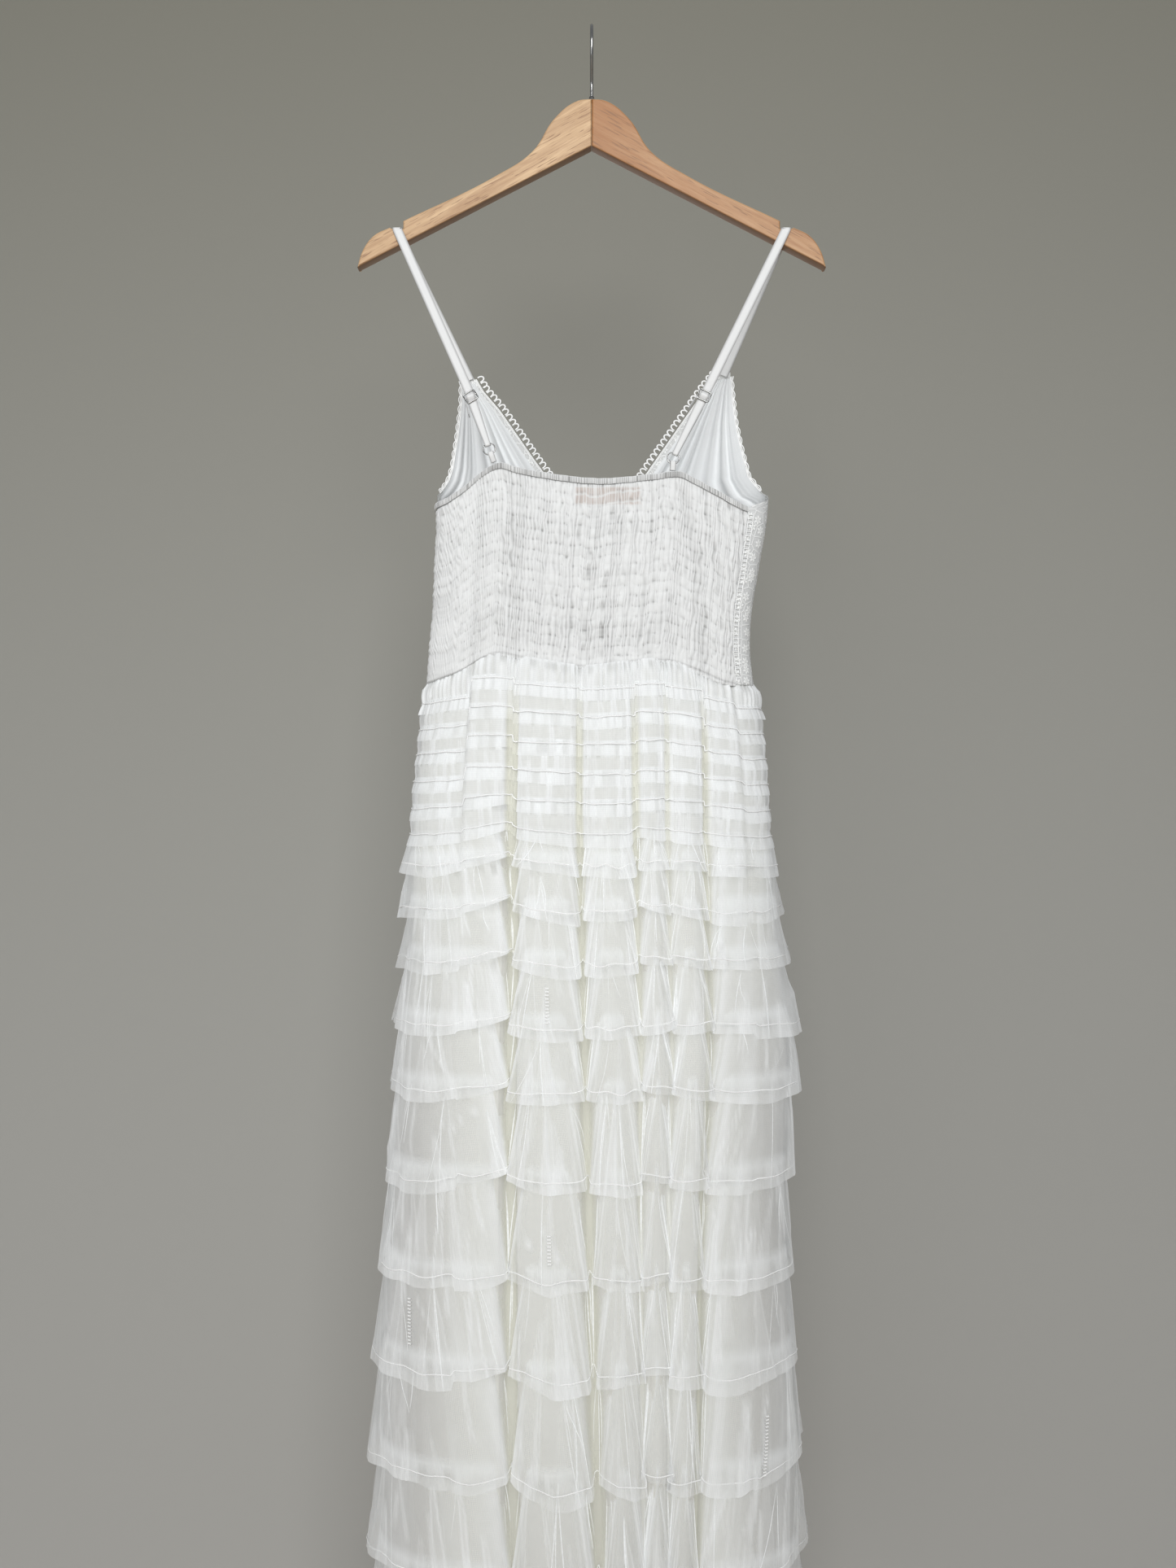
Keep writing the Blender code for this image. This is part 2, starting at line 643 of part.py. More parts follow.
def add_ring(row, finish):
    """The round wire ring between a strap and its tab."""
    spec, down, across, face = strap_frame(row)
    curve = bpy.data.curves.new("ring_" + spec["name"], "CURVE")
    curve.dimensions = "3D"
    curve.bevel_depth = RING_WIRE * MM
    curve.bevel_resolution = 1
    spline = curve.splines.new("POLY")
    spline.points.add(RING_STEPS - 1)
    spline.use_cyclic_u = True
    for step, point in enumerate(spline.points):
        angle = 2 * math.pi * step / RING_STEPS
        point.co = (RING_RADIUS * MM * math.cos(angle), RING_RADIUS * MM * math.sin(angle), 0, 1)
    return placed(add_object("ring_" + spec["name"], curve, finish), spec, "ring", across, down, face)


def add_slider(row, finish):
    """The adjuster: a wire frame with a middle bar."""
    spec, down, across, face = strap_frame(row)
    wire = 2 * SLIDER_WIRE
    bars = [(SLIDER_WIDTH, wire, 0, y) for y in (-SLIDER_HEIGHT / 2, 0, SLIDER_HEIGHT / 2)]
    bars += [(wire, SLIDER_HEIGHT + wire, x, 0) for x in (-SLIDER_WIDTH / 2, SLIDER_WIDTH / 2)]
    body = None
    for wide, high, x, y in bars:
        bm = bmesh.new()
        bmesh.ops.create_cube(bm, size=1)
        bmesh.ops.scale(bm, vec=Vector((wide, high, wire)) * MM, verts=bm.verts)
        bmesh.ops.translate(bm, vec=Vector((x, y, 0)) * MM, verts=bm.verts)
        mesh = bpy.data.meshes.new("slider_bar")
        bm.to_mesh(mesh)
        bm.free()
        if body is None:
            body = add_object("slider_" + spec["name"], mesh, finish)
            placed(body, spec, "slider", across, down, face)
            continue
        bar = bpy.data.objects.new("slider_bar", mesh)
        bpy.data.collections["cutters"].objects.link(bar)
        bar.hide_render = True
        bar.display_type = "WIRE"
        bar.parent = body
        joined = body.modifiers.new("bar", "BOOLEAN")
        joined.operation = "UNION"
        joined.object = bar
    return body


# Skirt


def roll_lines(rolls):
    """The columns of cloth across a run of rolls: x and relief near the waist and near the hem."""
    lines = []
    for index, row in enumerate(rolls):
        roll = dict(zip(ROLL_COLUMNS, row))
        for step in range(roll["spans"] + 1):
            t = step / roll["spans"]
            u = t * t if index == 0 else 1 - (1 - t) ** 2 if index == len(rolls) - 1 else t
            crest = ROLL_CREST * (1 - (2 * t - 1) ** 2)
            upper = roll["upper_from"] + (roll["upper_to"] - roll["upper_from"]) * u
            lower = roll["lower_from"] + (roll["lower_to"] - roll["lower_from"]) * u
            lines.append((upper, lower, crest, crest))
        if index < len(rolls) - 1:
            after = dict(zip(ROLL_COLUMNS, rolls[index + 1]))
            upper = (roll["upper_to"] + after["upper_from"]) / 2
            lower = (roll["lower_to"] + after["lower_from"]) / 2
            lines.append((upper, lower, -roll["upper_fold"], -roll["lower_fold"]))
    return lines


def skirt_lines():
    """All the columns round the skirt, from the left seam over the back and round to the front."""
    back = roll_lines(BACK_ROLLS)
    front = roll_lines(FRONT_ROLLS)
    lines = np.array(back[:-1] + front[:-1], float)
    on_back = np.arange(len(lines)) <= BACK_SPANS
    return lines, on_back


def skirt_ring(drop):
    """The underskirt's outer points at a drop, each column's outward direction, and its thickening."""
    lines, on_back = skirt_lines()
    left_side = lines[:, 0] > 0
    upper_width = np.where(left_side, BACK_ROLLS[0][1], -BACK_ROLLS[-1][2])
    lower_width = np.where(left_side, BACK_ROLLS[0][3], -BACK_ROLLS[-1][4])
    t = (drop - UPPER_ROLLS_DROP) / (LOWER_ROLLS_DROP - UPPER_ROLLS_DROP)
    t = np.clip(t, 0, 1)
    share = lines[:, 0] / upper_width * (1 - t) + lines[:, 1] / lower_width * t
    relief = lines[:, 2] * (1 - t) + lines[:, 3] * t
    full = FOLDS_AT_WAIST + (1 - FOLDS_AT_WAIST) * ease((drop - WAIST) / (FOLDS_FULL_DROP - WAIST))
    width = np.where(share > 0, smooth(drop, SKIRT_SECTIONS, "left"), smooth(drop, SKIRT_SECTIONS, "right"))
    depth = np.where(on_back, smooth(drop, SKIRT_SECTIONS, "back"), smooth(drop, SKIRT_SECTIONS, "front"))
    within = np.clip(np.abs(share), 0, 1)
    power = SKIRT_ROUNDNESS
    rise = (1 - within**power) ** (1 / power)
    sign = np.where(on_back, 1, -1)
    points = np.stack([share * width, sign * depth * rise], axis=1)
    normals = np.stack(
        [np.sign(share) * within ** (power - 1) / width, sign * rise ** (power - 1) / depth], axis=1
    )
    normals /= np.linalg.norm(normals, axis=1, keepdims=True)
    points = points + normals * (relief * full)[:, None]
    ahead = np.roll(points, -1, axis=0) - points
    behind = points - np.roll(points, 1, axis=0)
    facing = [
        np.abs(step[:, 0] * normals[:, 1] - step[:, 1] * normals[:, 0]) / np.linalg.norm(step, axis=1)
        for step in (ahead, behind)
    ]
    steep = 1 / np.maximum(np.minimum(*facing), 1 / STEEPEST)
    return points, normals, steep


def seam_arch():
    """How far the skirt's top edge lies off the waist's drop at each column, just under the bodice."""
    points, _, _ = skirt_ring(WAIST)
    x, y = points.T
    arch = waist_drop(x, y) + WAIST_PARTING - WAIST
    hem = back_grid()[0][-1]
    on_back = np.where(np.arange(SKIRT_SPANS) <= BACK_SPANS)[0]
    for place, _, height in hem:
        left = on_back[x[on_back] > place][-1]
        right = left + 1
        share = (x[left] - place) / (x[left] - x[right])
        short = WAIST_PARTING - height - WAIST - (arch[left] * (1 - share) + arch[right] * share)
        if short > 0:
            arch[left] += short
            arch[right] += short
    return arch


def arch_at(drop):
    """The arch of the waist as it dies out down the skirt."""
    return seam_arch() * (1 - ease((drop - WAIST) / (WAIST_ARCH_ENDS - WAIST)))


def underskirt_rows():
    """The underskirt's rings from the waist down, each as points, directions, thickening and drops."""
    rows = []
    for drop in (WAIST, *UNDERSKIRT_ROWS):
        points, normals, steep = skirt_ring(drop)
        rows.append((points, normals, steep, drop + arch_at(drop)))
    return rows


def on_underskirt(rows, drops):
    """Points of the underskirt, directions and thickening at one drop for each column."""
    drops = np.asarray(drops, float)
    stacked = np.array([row[3] for row in rows])
    found = []
    for column, drop in enumerate(drops):
        i = int(np.clip(np.searchsorted(stacked[:, column], drop) - 1, 0, len(rows) - 2))
        t = (drop - stacked[i, column]) / (stacked[i + 1, column] - stacked[i, column])
        ring = [rows[i][k][column] * (1 - t) + rows[i + 1][k][column] * t for k in range(3)]
        found.append(ring)
    return tuple(np.array([ring[k] for ring in found]) for k in range(3))


def add_underskirt(rows, finish):
    """The back and the front of the underskirt, parted at the side seams."""
    parts = {"skirt_back": range(0, BACK_SPANS + 1), "skirt_front": range(BACK_SPANS, SKIRT_SPANS + 1)}
    for name, columns in parts.items():
        at = [column % SKIRT_SPANS for column in columns]
        part_from_seam = np.zeros((len(at), 3))
        away = 1 if name == "skirt_back" else -1
        part_from_seam[0, 1] = part_from_seam[-1, 1] = away * GAP / 2
        outer = []
        inner = []
        for points, normals, steep, drops in rows:
            outer.append(lift(points, normals, drops, np.zeros(SKIRT_SPANS))[at] + part_from_seam)
            inner.append(lift(points, normals, drops, -UNDERSKIRT * steep)[at] + part_from_seam)
        add_wall(name, outer, inner, finish)


def flounces():
    """The ruffles and tiers from the top down: name, top and hem drops, flare, wave height and waves."""
    made = []
    for index in range(RUFFLES):
        stitch = FIRST_STITCH + RUFFLE_PITCH * (index - 1)
        top = WAIST if index == 0 else stitch - RUFFLE_HEADER
        hem = stitch + RUFFLE_PITCH + RUFFLE_OVERLAP
        made.append((f"ruffle_{index + 1:02}", top, hem, RUFFLE_FLARE, RUFFLE_WAVE, RUFFLE_WAVES))
    top = FIRST_STITCH + RUFFLE_PITCH * (RUFFLES - 1) - RUFFLE_HEADER
    for index, hem in enumerate(TIER_HEMS):
        made.append((f"tier_{index + 1:02}", top, hem, TIER_FLARE, TIER_WAVE, TIER_WAVES))
        top = hem - TIER_OVERLAP
    return made


def flounce_at(flounce, drops):
    """Inner points of a flounce at a drop for each column, and its thickness there."""
    share = ((drops - flounce["tops"]) / (flounce["hems"] - flounce["tops"]))[:, None]
    points = flounce["upper"] * (1 - share) + flounce["lower"] * share
    return points, TULLE * (flounce["steep_top"] * (1 - share[:, 0]) + flounce["steep_hem"] * share[:, 0])


def add_flounces(rows, finish):
    """Each ruffle and tier, from the lowest up, clear of the underskirt and of the one it covers."""
    column = np.arange(SKIRT_SPANS)
    seams = np.array([row[3] for row in rows])
    below = None
    for order, (name, top, hem, flare, wave, waves) in reversed(list(enumerate(flounces()))):
        tops = top + arch_at(top)
        sway = HEM_SWAY * np.sin(2 * math.pi * SWAY_WAVES * column / SKIRT_SPANS + order)
        hems = hem + arch_at(hem) + sway
        upper, upper_normals, steep_top = on_underskirt(rows, tops)
        lower, lower_normals, steep_hem = on_underskirt(rows, hems)
        upper = upper + upper_normals * (GAP * steep_top)[:, None]
        far = flare + wave * np.cos(2 * math.pi * (waves * column / SKIRT_SPANS + order * WAVE_SHIFT))
        limits = [row for row in seams if np.any((row > tops + SEWN_DEPTH) & (row < hems))] + [hems]
        if below:
            limits += [below["tops"], below["tops"] * 0.5 + hems * 0.5]
        for limit in limits:
            drops = np.clip(limit, tops + SEWN_DEPTH, hems)
            under, facing, steep = on_underskirt(rows, drops)
            covered = (under * facing).sum(1) + LEAST_CLEARANCE * steep
            if below:
                points, thickness = flounce_at(below, np.maximum(drops, below["tops"]))
                over = (points * facing).sum(1) + thickness + LEAST_CLEARANCE * steep
                covered = np.where(drops >= below["tops"], over, covered)
            share = (drops - tops) / (hems - tops)
            reached = (upper * facing).sum(1) * (1 - share) + (lower * facing).sum(1) * share
            far = np.maximum(far, (covered - reached) / (share * (lower_normals * facing).sum(1)))
        lower = lower + lower_normals * far[:, None]
        flounce = {
            "tops": tops,
            "hems": hems,
            "upper": upper,
            "lower": lower,
            "steep_top": steep_top,
            "steep_hem": steep_hem,
        }
        inner = []
        outer = []
        for points, normals, steep, drops in (
            (upper, upper_normals, steep_top, tops),
            (lower, lower_normals, steep_hem, hems),
        ):
            inner.append(lift(points, normals, drops, np.zeros(SKIRT_SPANS)))
            outer.append(lift(points, normals, drops, TULLE * steep))
        add_wall(name, outer, inner, finish, closed=True)
        below = flounce


# Hanger


def add_hanger_half(name, mirrored, finish):
    """One half of the wooden hanger, parted from the other at the mitre."""
    curve = bpy.data.curves.new(name, "CURVE")
    curve.dimensions = "2D"
    curve.fill_mode = "BOTH"
    curve.extrude = (HANGER_THICKNESS / 2 - HANGER_EDGE) * MM
    curve.bevel_depth = HANGER_EDGE * MM
    curve.bevel_resolution = 1
    curve.offset = -HANGER_EDGE * MM
    curve.resolution_u = 4
    spline = curve.splines.new("BEZIER")
    spline.bezier_points.add(len(HANGER_OUTLINE) - 1)
    spline.use_cyclic_u = True
    for point, (x, drop, kind) in zip(spline.bezier_points, HANGER_OUTLINE):
        point.co = Vector((max(x, GAP / 2), -drop, 0)) * MM
        point.handle_left_type = point.handle_right_type = "AUTO" if kind == "round" else "VECTOR"
    half = add_object(name, curve, finish)
    half.rotation_euler = (math.radians(90), 0, math.radians(180) if mirrored else 0)
    return half


def add_hook(finish):
    """The hook, turned square to the hanger: shank, bow to the back and over the rail, down to its tip."""
    centre = np.array([0.0, -HOOK_RADIUS])
    radius = HOOK_RADIUS + HOOK_WIRE
    angles = np.radians(np.linspace(HOOK_LEAVES_CIRCLE, HOOK_ENDS, 26))
    bow = [centre + radius * np.array([math.cos(a), math.sin(a)]) for a in angles]
    bow_start = np.array([-math.sin(angles[0]), math.cos(angles[0])])
    foot = np.array([0.0, -HANGER_OUTLINE[0][1] + GAP])
    neck = np.array([0.0, -HOOK_SHANK_TOP])
    bend_points = []
    for t in np.linspace(0, 1, 8)[1:-1]:
        a = neck
        b = neck + np.array([0, HOOK_BEND])
        c = bow[0] - bow_start * HOOK_BEND
        d = bow[0]
        bend_points.append(
            (1 - t) ** 3 * a + 3 * t * (1 - t) ** 2 * b + 3 * t * t * (1 - t) * c + t**3 * d
        )
    route = [foot, neck, *bend_points, *bow]
    curve = bpy.data.curves.new("hanger_hook", "CURVE")
    curve.dimensions = "3D"
    curve.bevel_depth = HOOK_WIRE * MM
    curve.bevel_resolution = 2
    curve.use_fill_caps = True
    spline = curve.splines.new("POLY")
    spline.points.add(len(route) - 1)
    for point, (y, z) in zip(spline.points, route):
        point.co = (0, y * MM, z * MM, 1)
    return add_object("hanger_hook", curve, finish)


def main():
    for obj in list(bpy.data.objects):
        bpy.data.objects.remove(obj, do_unlink=True)
    for name in ("dress_on_hanger", "cutters"):
        bpy.context.scene.collection.children.link(bpy.data.collections.new(name))
    smocked = material("smocked_cloth", (0.86, 0.87, 0.86), 0.75)
    lace = material("lace", (0.87, 0.88, 0.87), 0.8)
    satin = material("satin", (0.88, 0.89, 0.89), 0.35)
    tulle = material("tulle", (0.84, 0.85, 0.83), 0.85)
    lining = material("underskirt", (0.80, 0.81, 0.77), 0.85)
    label = material("label", (0.78, 0.66, 0.58), 0.7)
    steel = material("nickel_plate", (0.62, 0.62, 0.61), 0.2, 1.0)
    beech = material("beech", (0.58, 0.37, 0.20), 0.45)

    add_hanger_half("hanger_left", False, beech)
    add_hanger_half("hanger_right", True, beech)
    add_hook(steel)
    for row in STRAPS:
        add_strap(row, satin)
        add_tail(row, satin)
        add_tab(row, satin)
        add_ring(row, steel)
        add_slider(row, steel)
    add_back(smocked, label)
    for side in ("left", "right"):
        add_front(side, lace, satin)
    rows = underskirt_rows()
    add_underskirt(rows, lining)
    add_flounces(rows, tulle)


main()
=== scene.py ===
"""The looks of the tiered tulle dress on its hanger: cloth shells on the solids' form, trims, metal, wood.

Tables and the functions that read them are in millimetres, with heights given as a drop below the rail,
and add_piece turns them into metres. The smocked back faces +Y, and +X is the wearer's left.
"""

import math

import bpy
import numpy as np
from mathutils import Matrix, Vector


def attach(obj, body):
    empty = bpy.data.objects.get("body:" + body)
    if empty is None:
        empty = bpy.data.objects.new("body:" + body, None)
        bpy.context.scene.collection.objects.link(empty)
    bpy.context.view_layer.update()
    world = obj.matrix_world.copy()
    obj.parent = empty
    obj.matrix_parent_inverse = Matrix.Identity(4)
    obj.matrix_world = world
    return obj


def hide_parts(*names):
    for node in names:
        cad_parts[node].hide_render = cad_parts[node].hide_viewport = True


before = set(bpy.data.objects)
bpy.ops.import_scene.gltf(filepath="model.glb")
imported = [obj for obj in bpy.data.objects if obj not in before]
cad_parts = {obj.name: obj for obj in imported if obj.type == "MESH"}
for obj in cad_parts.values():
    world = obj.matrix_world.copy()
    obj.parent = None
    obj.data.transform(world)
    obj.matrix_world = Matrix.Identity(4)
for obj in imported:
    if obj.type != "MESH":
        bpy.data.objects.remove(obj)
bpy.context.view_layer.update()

MM = 0.001
GAP = 0.3
TURN = 2 * math.pi

# Bodice sections, as in the solids
SECTION_COLUMNS = ("drop", "left", "right", "back", "front")
BODICE_SECTIONS = (
    (315, 160, 168, 30, 33),
    (380, 152, 168, 34, 42),
    (442, 148.5, 169.5, 38, 50),
    (470, 147.5, 167.5, 39, 55),
    (516, 149, 160, 39, 57),
    (563, 151.5, 152.5, 38, 50),
    (595, 154, 151.5, 37, 44),
    (628, 157, 155, 38, 42),
)
BACK_ROUNDNESS = 3.2
FRONT_ROUNDNESS = 2.4
WAIST = 627
FRONT_WAIST = ((-156, 628.7), (157, 627))
BACK_TOP = (
    (-144, 464), (-127, 458), (-110, 449), (-88, 438), (-75, 431.7), (-56, 433.7), (-4, 438.5),
    (46, 433.3), (72, 428), (91, 423.5), (104, 430.5), (121, 444), (139, 454), (149, 456),
)
BACK_WAIST = (
    (-156, 628.7), (-127, 627), (-99, 616), (-73, 607.4), (-56, 606.6), (8, 612.7), (64, 604.3),
    (91, 600.5), (120, 615.3), (157, 627),
)
BAND_HEIGHT = 6
WAIST_OVERLAP = 2.8  # how far the skirt reaches up inside the bodice's lower edge
MID_BACK = 520
BODICE_DROPS = (418, 634, 4.0)
LEFT_SEAM = 90
RIGHT_SEAM = 233
SEAM_TRIM = 0.35

# Shirring of the back: rows of elastic and the ribs that they gather
SHIRR_COLUMNS = 640
SHIRR_LINES = 150
WAIST_TUCK = 1.6  # how far the back reaches below its seam, where the skirt's first gathers meet it
ELASTIC_PITCH = 9.6
MOST_ROWS = 30
BAND_COLUMNS = 960
RIB_PITCH = 3.0
RIB_HEIGHT = 1.15
PUFF_HEIGHT = 0.7
LABEL_SHOWS = (-46.5, 16.5, 446, 464)
LABEL_INSIDE = 1.5 + GAP
# How a lower edge turns in at the waist seam: inwards and down, row by row
HEM_TURN = ((0.9, 0.5), (4.5, 0.3), (9.0, -0.5))
BACK_CREASE = ((440, -84), (530, -98.8), (628, -105))

# Fronts
NECK_LEFT = ((323, 116), (337, 107.5), (354, 92), (380, 73), (400, 58.6), (414, 48), (470, 3), (628, -112))
NECK_RIGHT = ((318, -126), (334, -112.4), (412, -56.3), (487, -2), (550, 42), (628, 100))
ARMHOLE_LEFT = ((323, 127), (350, 127.7), (381, 131.6), (412, 136.3), (425, 140), (439, 147))
ARMHOLE_RIGHT = ((318, -135.5), (340, -137.6), (367, -141), (392, -146.5), (421, -154), (439, -166))
UNDERARM = 446
RIGHT_SEAM_TOP = 465
SEAM_SHAPED_FROM = 0.6
OVERLAP_FROM = -150
OVERLAP_RISE = 30
OVERLAP_STEP = 3.8
LADDER_TRIM = {"drops": (468, 622, 2.0), "rails": (6.0, 1.0)}
FRONT_LINES = 130
FRONT_COLUMNS = 96
# The heights that the fronts and their linings are cut to, in metres
LACE = 1.2
NECK_INSET = ((0, 0.2), (2.5, 5.5))
BRAID_WIDTH = 1.8
PICOT_PITCH = 5.7
PICOT_LENGTH = 7
PICOT_CORD = 0.75
SCALLOP_PITCH = 9
SCALLOP_DEPTH = 1.2

# Straps and their metal
ELASTIC = 1.0
STRAP_WIDTH = 8.8
STRAP_AT_RING = 5.6
STRAP_WIDENS = 14
# Half of a strap's section, as shares of its half width and its thickness
RIBBON_SECTION = ((-1, 0.2), (-0.96, 0.5), (-0.5, 0.5), (0, 0.5), (0.5, 0.5), (0.96, 0.5), (1, 0.2))
STRAP_COLUMNS = ("name", "notch", "slider", "ring", "band")
STRAPS = (
    ("left", (185.5, 191.4), (113.5, 27, 359), (95.4, 35, 410.5), 91),
    ("right", (-185.5, 191.4), (-105.3, 27, 358), (-75.7, 36, 419), -75),
)
STRAP_SEWN = 4
RING_RADIUS = 5.6
RING_WIRE = 0.6
LOOP_TURN = 1.45
LOOP_CENTRE = 4.7
SLIDER_WIDTH = 11.6
SLIDER_HEIGHT = 9.6
SLIDER_WIRE = 0.65
SLIDER_CORNER = 1.6
SLIDER_LEAN = {"left": 12, "right": 0}
WEAVE_DEPTH = 1.7
WEAVE_STEPS = (4.2, 1.0)
BELOW_SLIDER = 7.4
STRAP_END = 11.5
TAIL_LENGTH = 11
TAIL_BESIDE = 6.4
TAIL_WIDTH = 7
TAB_WIDTH = 5.4
TAB_LEG = 2.4

# Skirt sections and rolls, as in the solids
SKIRT_SECTIONS = (
    (627, 157, 155, 38, 42),
    (660, 160, 159, 44, 46),
    (770, 167, 165, 56, 56),
    (860, 168, 171, 61, 60),
    (960, 178, 182, 66, 64),
    (1100, 186, 179, 71, 68),
    (1290, 194, 187, 76, 72),
    (1475, 198, 192, 79, 76),
    (1560, 200, 194, 80, 77),
)
SKIRT_ROUNDNESS = 2.5
ROLL_COLUMNS = ("spans", "upper_from", "upper_to", "lower_from", "lower_to", "upper_fold", "lower_fold")
BACK_ROLLS = (
    (5, 168, 84, 198, 80, 16, 16),
    (2, 68, 20, 62, 6, 16, 20),
    (2, 4, -33, -22, -42, 14, 4),
    (1, -49, -64, -52, -64, 10, 4),
    (1, -78, -100, -72, -87, 15, 15),
    (3, -116, -166, -103, -192, 0, 0),
)
FRONT_ROLLS = (
    (4, -166, -94, -192, -98, 14, 14),
    (3, -78, -18, -82, -28, 16, 16),
    (2, -4, 36, -12, 28, 12, 8),
    (3, 50, 98, 44, 92, 15, 16),
    (4, 112, 168, 108, 198, 0, 0),
)
UPPER_ROLLS_DROP = 750
LOWER_ROLLS_DROP = 1475
ROLL_CREST = 7
FOLDS_AT_WAIST = 0.1
FOLDS_FULL_DROP = 765
WAIST_ARCH_ENDS = 830
WAIST_PARTING = 1.3
BACK_SPANS = 24
SKIRT_SPANS = 48
UNDERSKIRT_HEM = 1528

# Ruffles and tiers
FIRST_STITCH = 648
RUFFLE_PITCH = 24.1
RUFFLES = 6
RUFFLE_HEADER = 3
RUFFLE_OVERLAP = 10.4
TIER_HEMS = (804, 844, 890, 948, 1006, 1085, 1172, 1255, 1350, 1440, 1535)
TIER_OVERLAP = 22
TIER_HEADER = 13
COLUMNS_PER_SPAN = 22
COLUMNS = SKIRT_SPANS * COLUMNS_PER_SPAN
AROUND = np.arange(COLUMNS) / COLUMNS
ON_BACK = np.arange(COLUMNS) <= BACK_SPANS * COLUMNS_PER_SPAN
FORM_DROPS = (624, 1580, 6.0)
MIDDLE_RING = 60  # the ring of the form, at 984, that lengths round the skirt are taken on
CREASE_PITCH = 32
FOLD_WALL = 0.8  # share of a fold's half that its side takes; the rest is its bottom
WIDE_FOLD_SPANS = (5, 6)
WIDE_FOLD_WALL = 0.22
# Where the cloth parts into upright panels, whose rows step at their borders: x across each side
BACK_PANELS = (118, 76, 12, -41, -71, -108, -140)
FRONT_PANELS = (-138, -86, -11, 43, 105, 140)
# How far each hem hangs below its plain line, by x across the back: on the upper and on the lower tiers
HEM_LINE = (
    (-190, 3, -4), (-165, 5, 3), (-140, 2, 9), (-110, 0, 6), (-100, 1, 3), (-72, -4, -3),
    (-66, -5, -5), (-44, -5, -8), (-38, 3, -2), (-15, 4, 0), (5, 3, -2), (15, 3, 4), (40, 0, 10),
    (66, -4, -6), (74, -10, -8), (80, -15, -8), (110, -5, 4), (140, 1, 8), (165, 4, 3), (190, 2, -2),
)

# How ruffles and tiers differ: waves and relief in millimetres, and shares of the net's density
LOOK_COLUMNS = (
    "uneven", "fine_wave", "flute_wave", "fine", "flute", "swell", "in_fold", "tilt", "lip",
    "blocks", "fold_open", "seam_wander", "sinks",
)
RUFFLE_LOOK = dict(zip(LOOK_COLUMNS, (0.8, 4.6, 14, 0.2, 0.7, 0.5, 1.0, 0.7, 0.4, 1.0, 0.3, 0.5, 0)))
TIER_LOOK = dict(zip(LOOK_COLUMNS, (1.5, 6.0, 26, 0.4, 2.2, 2.4, 2.0, 0.3, 1.3, 0.5, 0.6, 1.3, 1)))
SEAM_THREAD = 0.5
# The main creases of the back's tiers: x and drop of both ends, and strength
MAIN_CREASES = (
    (62, 885, 73, 931, 1.0), (147, 940, 128, 991, 0.9), (129, 891, 120, 902, 0.7),
    (115, 1026, 96, 1012, 1.0), (136, 1020, 126, 1037, 0.9), (126, 1037, 104, 1016, 1.0),
    (128, 1027, 123, 1062, 0.8), (18, 966, 7, 1004, 0.8), (-102, 902, -114, 942, 0.8),
    (-120, 861, -106, 888, 0.9), (-63, 817, -74, 799, 0.9), (-176, 915, -188, 942, 0.8),
    (169, 956, 177, 996, 0.8), (158, 891, 159, 1001, 0.6), (174, 1016, 185, 1076, 0.8),
    (158, 1011, 158, 1065, 0.6), (64, 1127, 47, 1138, 1.5), (47, 1138, 20, 1146, 1.5),
    (46, 1116, 38, 1130, 1.2), (139, 1095, 128, 1113, 0.9), (112, 1127, 120, 1141, 0.9),
    (155, 1184, 142, 1221, 0.8), (177, 1124, 182, 1162, 0.7), (-31, 1103, -31, 1159, 0.8),
    (-112, 1105, -96, 1122, 0.9), (-155, 1273, -150, 1356, 1.0), (66, 1281, 58, 1329, 0.6),
    (47, 1283, 50, 1356, 0.7), (-85, 1291, -90, 1297, 1.2), (-90, 1297, -87, 1316, 1.2),
    (-7, 1335, -12, 1359, 0.8), (10, 1348, -1, 1389, 0.7),
)

# The seams that join a tier's lengths of net, with their cross stitches: x and the drops of both ends
LADDER_SEAMS = ((37.5, 1124, 1151), (164, 1190, 1231), (-154, 1294, 1347), (40, 905, 938))
LADDER_STEP = 3.0
LADDER_WIDTH = 3.4

# Hanger
HANGER_THICKNESS = 12
HANGER_EDGE = 1.5
HANGER_OUTLINE = (
    (0, 67.4, "corner"), (14.4, 69.5, "round"), (35, 85.4, "round"), (56.8, 117.6, "round"),
    (90.4, 140.2, "round"), (180, 184, "corner"), (180, 191.4, "corner"), (191.2, 191.4, "corner"),
    (193, 190.3, "corner"), (208.2, 198.1, "round"), (218.4, 211.6, "round"),
    (223.9, 228.3, "corner"), (0, 112.4, "corner"),
)
HOOK_WIRE = 1.6
HOOK_RADIUS = 21
HOOK_SHANK_TOP = 53
HOOK_LEAVES_CIRCLE = -50
HOOK_ENDS = 205
HOOK_BEND = 6.6
HOOK_COLLAR = ((67.0, 3.4), (65.8, 3.4), (65.2, 2.6), (63.0, 2.4), (62.6, 1.7))
ARM_SLOPE = (50, 90)
OTHER_BOARD = (500.0, 90.0, 40.0)  # where in the wood the right half is cut

# The room, in metres: name, place, target and watts of each light
ROOM_HALF_WIDTH = 2.2
ROOM_DEPTH = 2.5
WALL_PLACE = -0.4
WALL_TOP = 0.5
FLOOR_HEIGHT = -1.75
LIGHT_SIZE = 1.5
LIGHTS = (
    ("key_light", (-0.12, 2.45, 0.45), (0, 0, -0.6), 49),
    ("fill_light", (1.3, 2.0, -0.6), (0, 0, -0.9), 10),
    ("front_light", (0.3, -2.3, 0.2), (0, 0, -0.7), 32),
)
ROOM_COLOUR = (0.82, 0.84, 0.86)
ROOM_STRENGTH = 0.36
CAMERA_LENS = 27.03
CAMERA_PLACE = (0.0035, 1.13, -0.722)

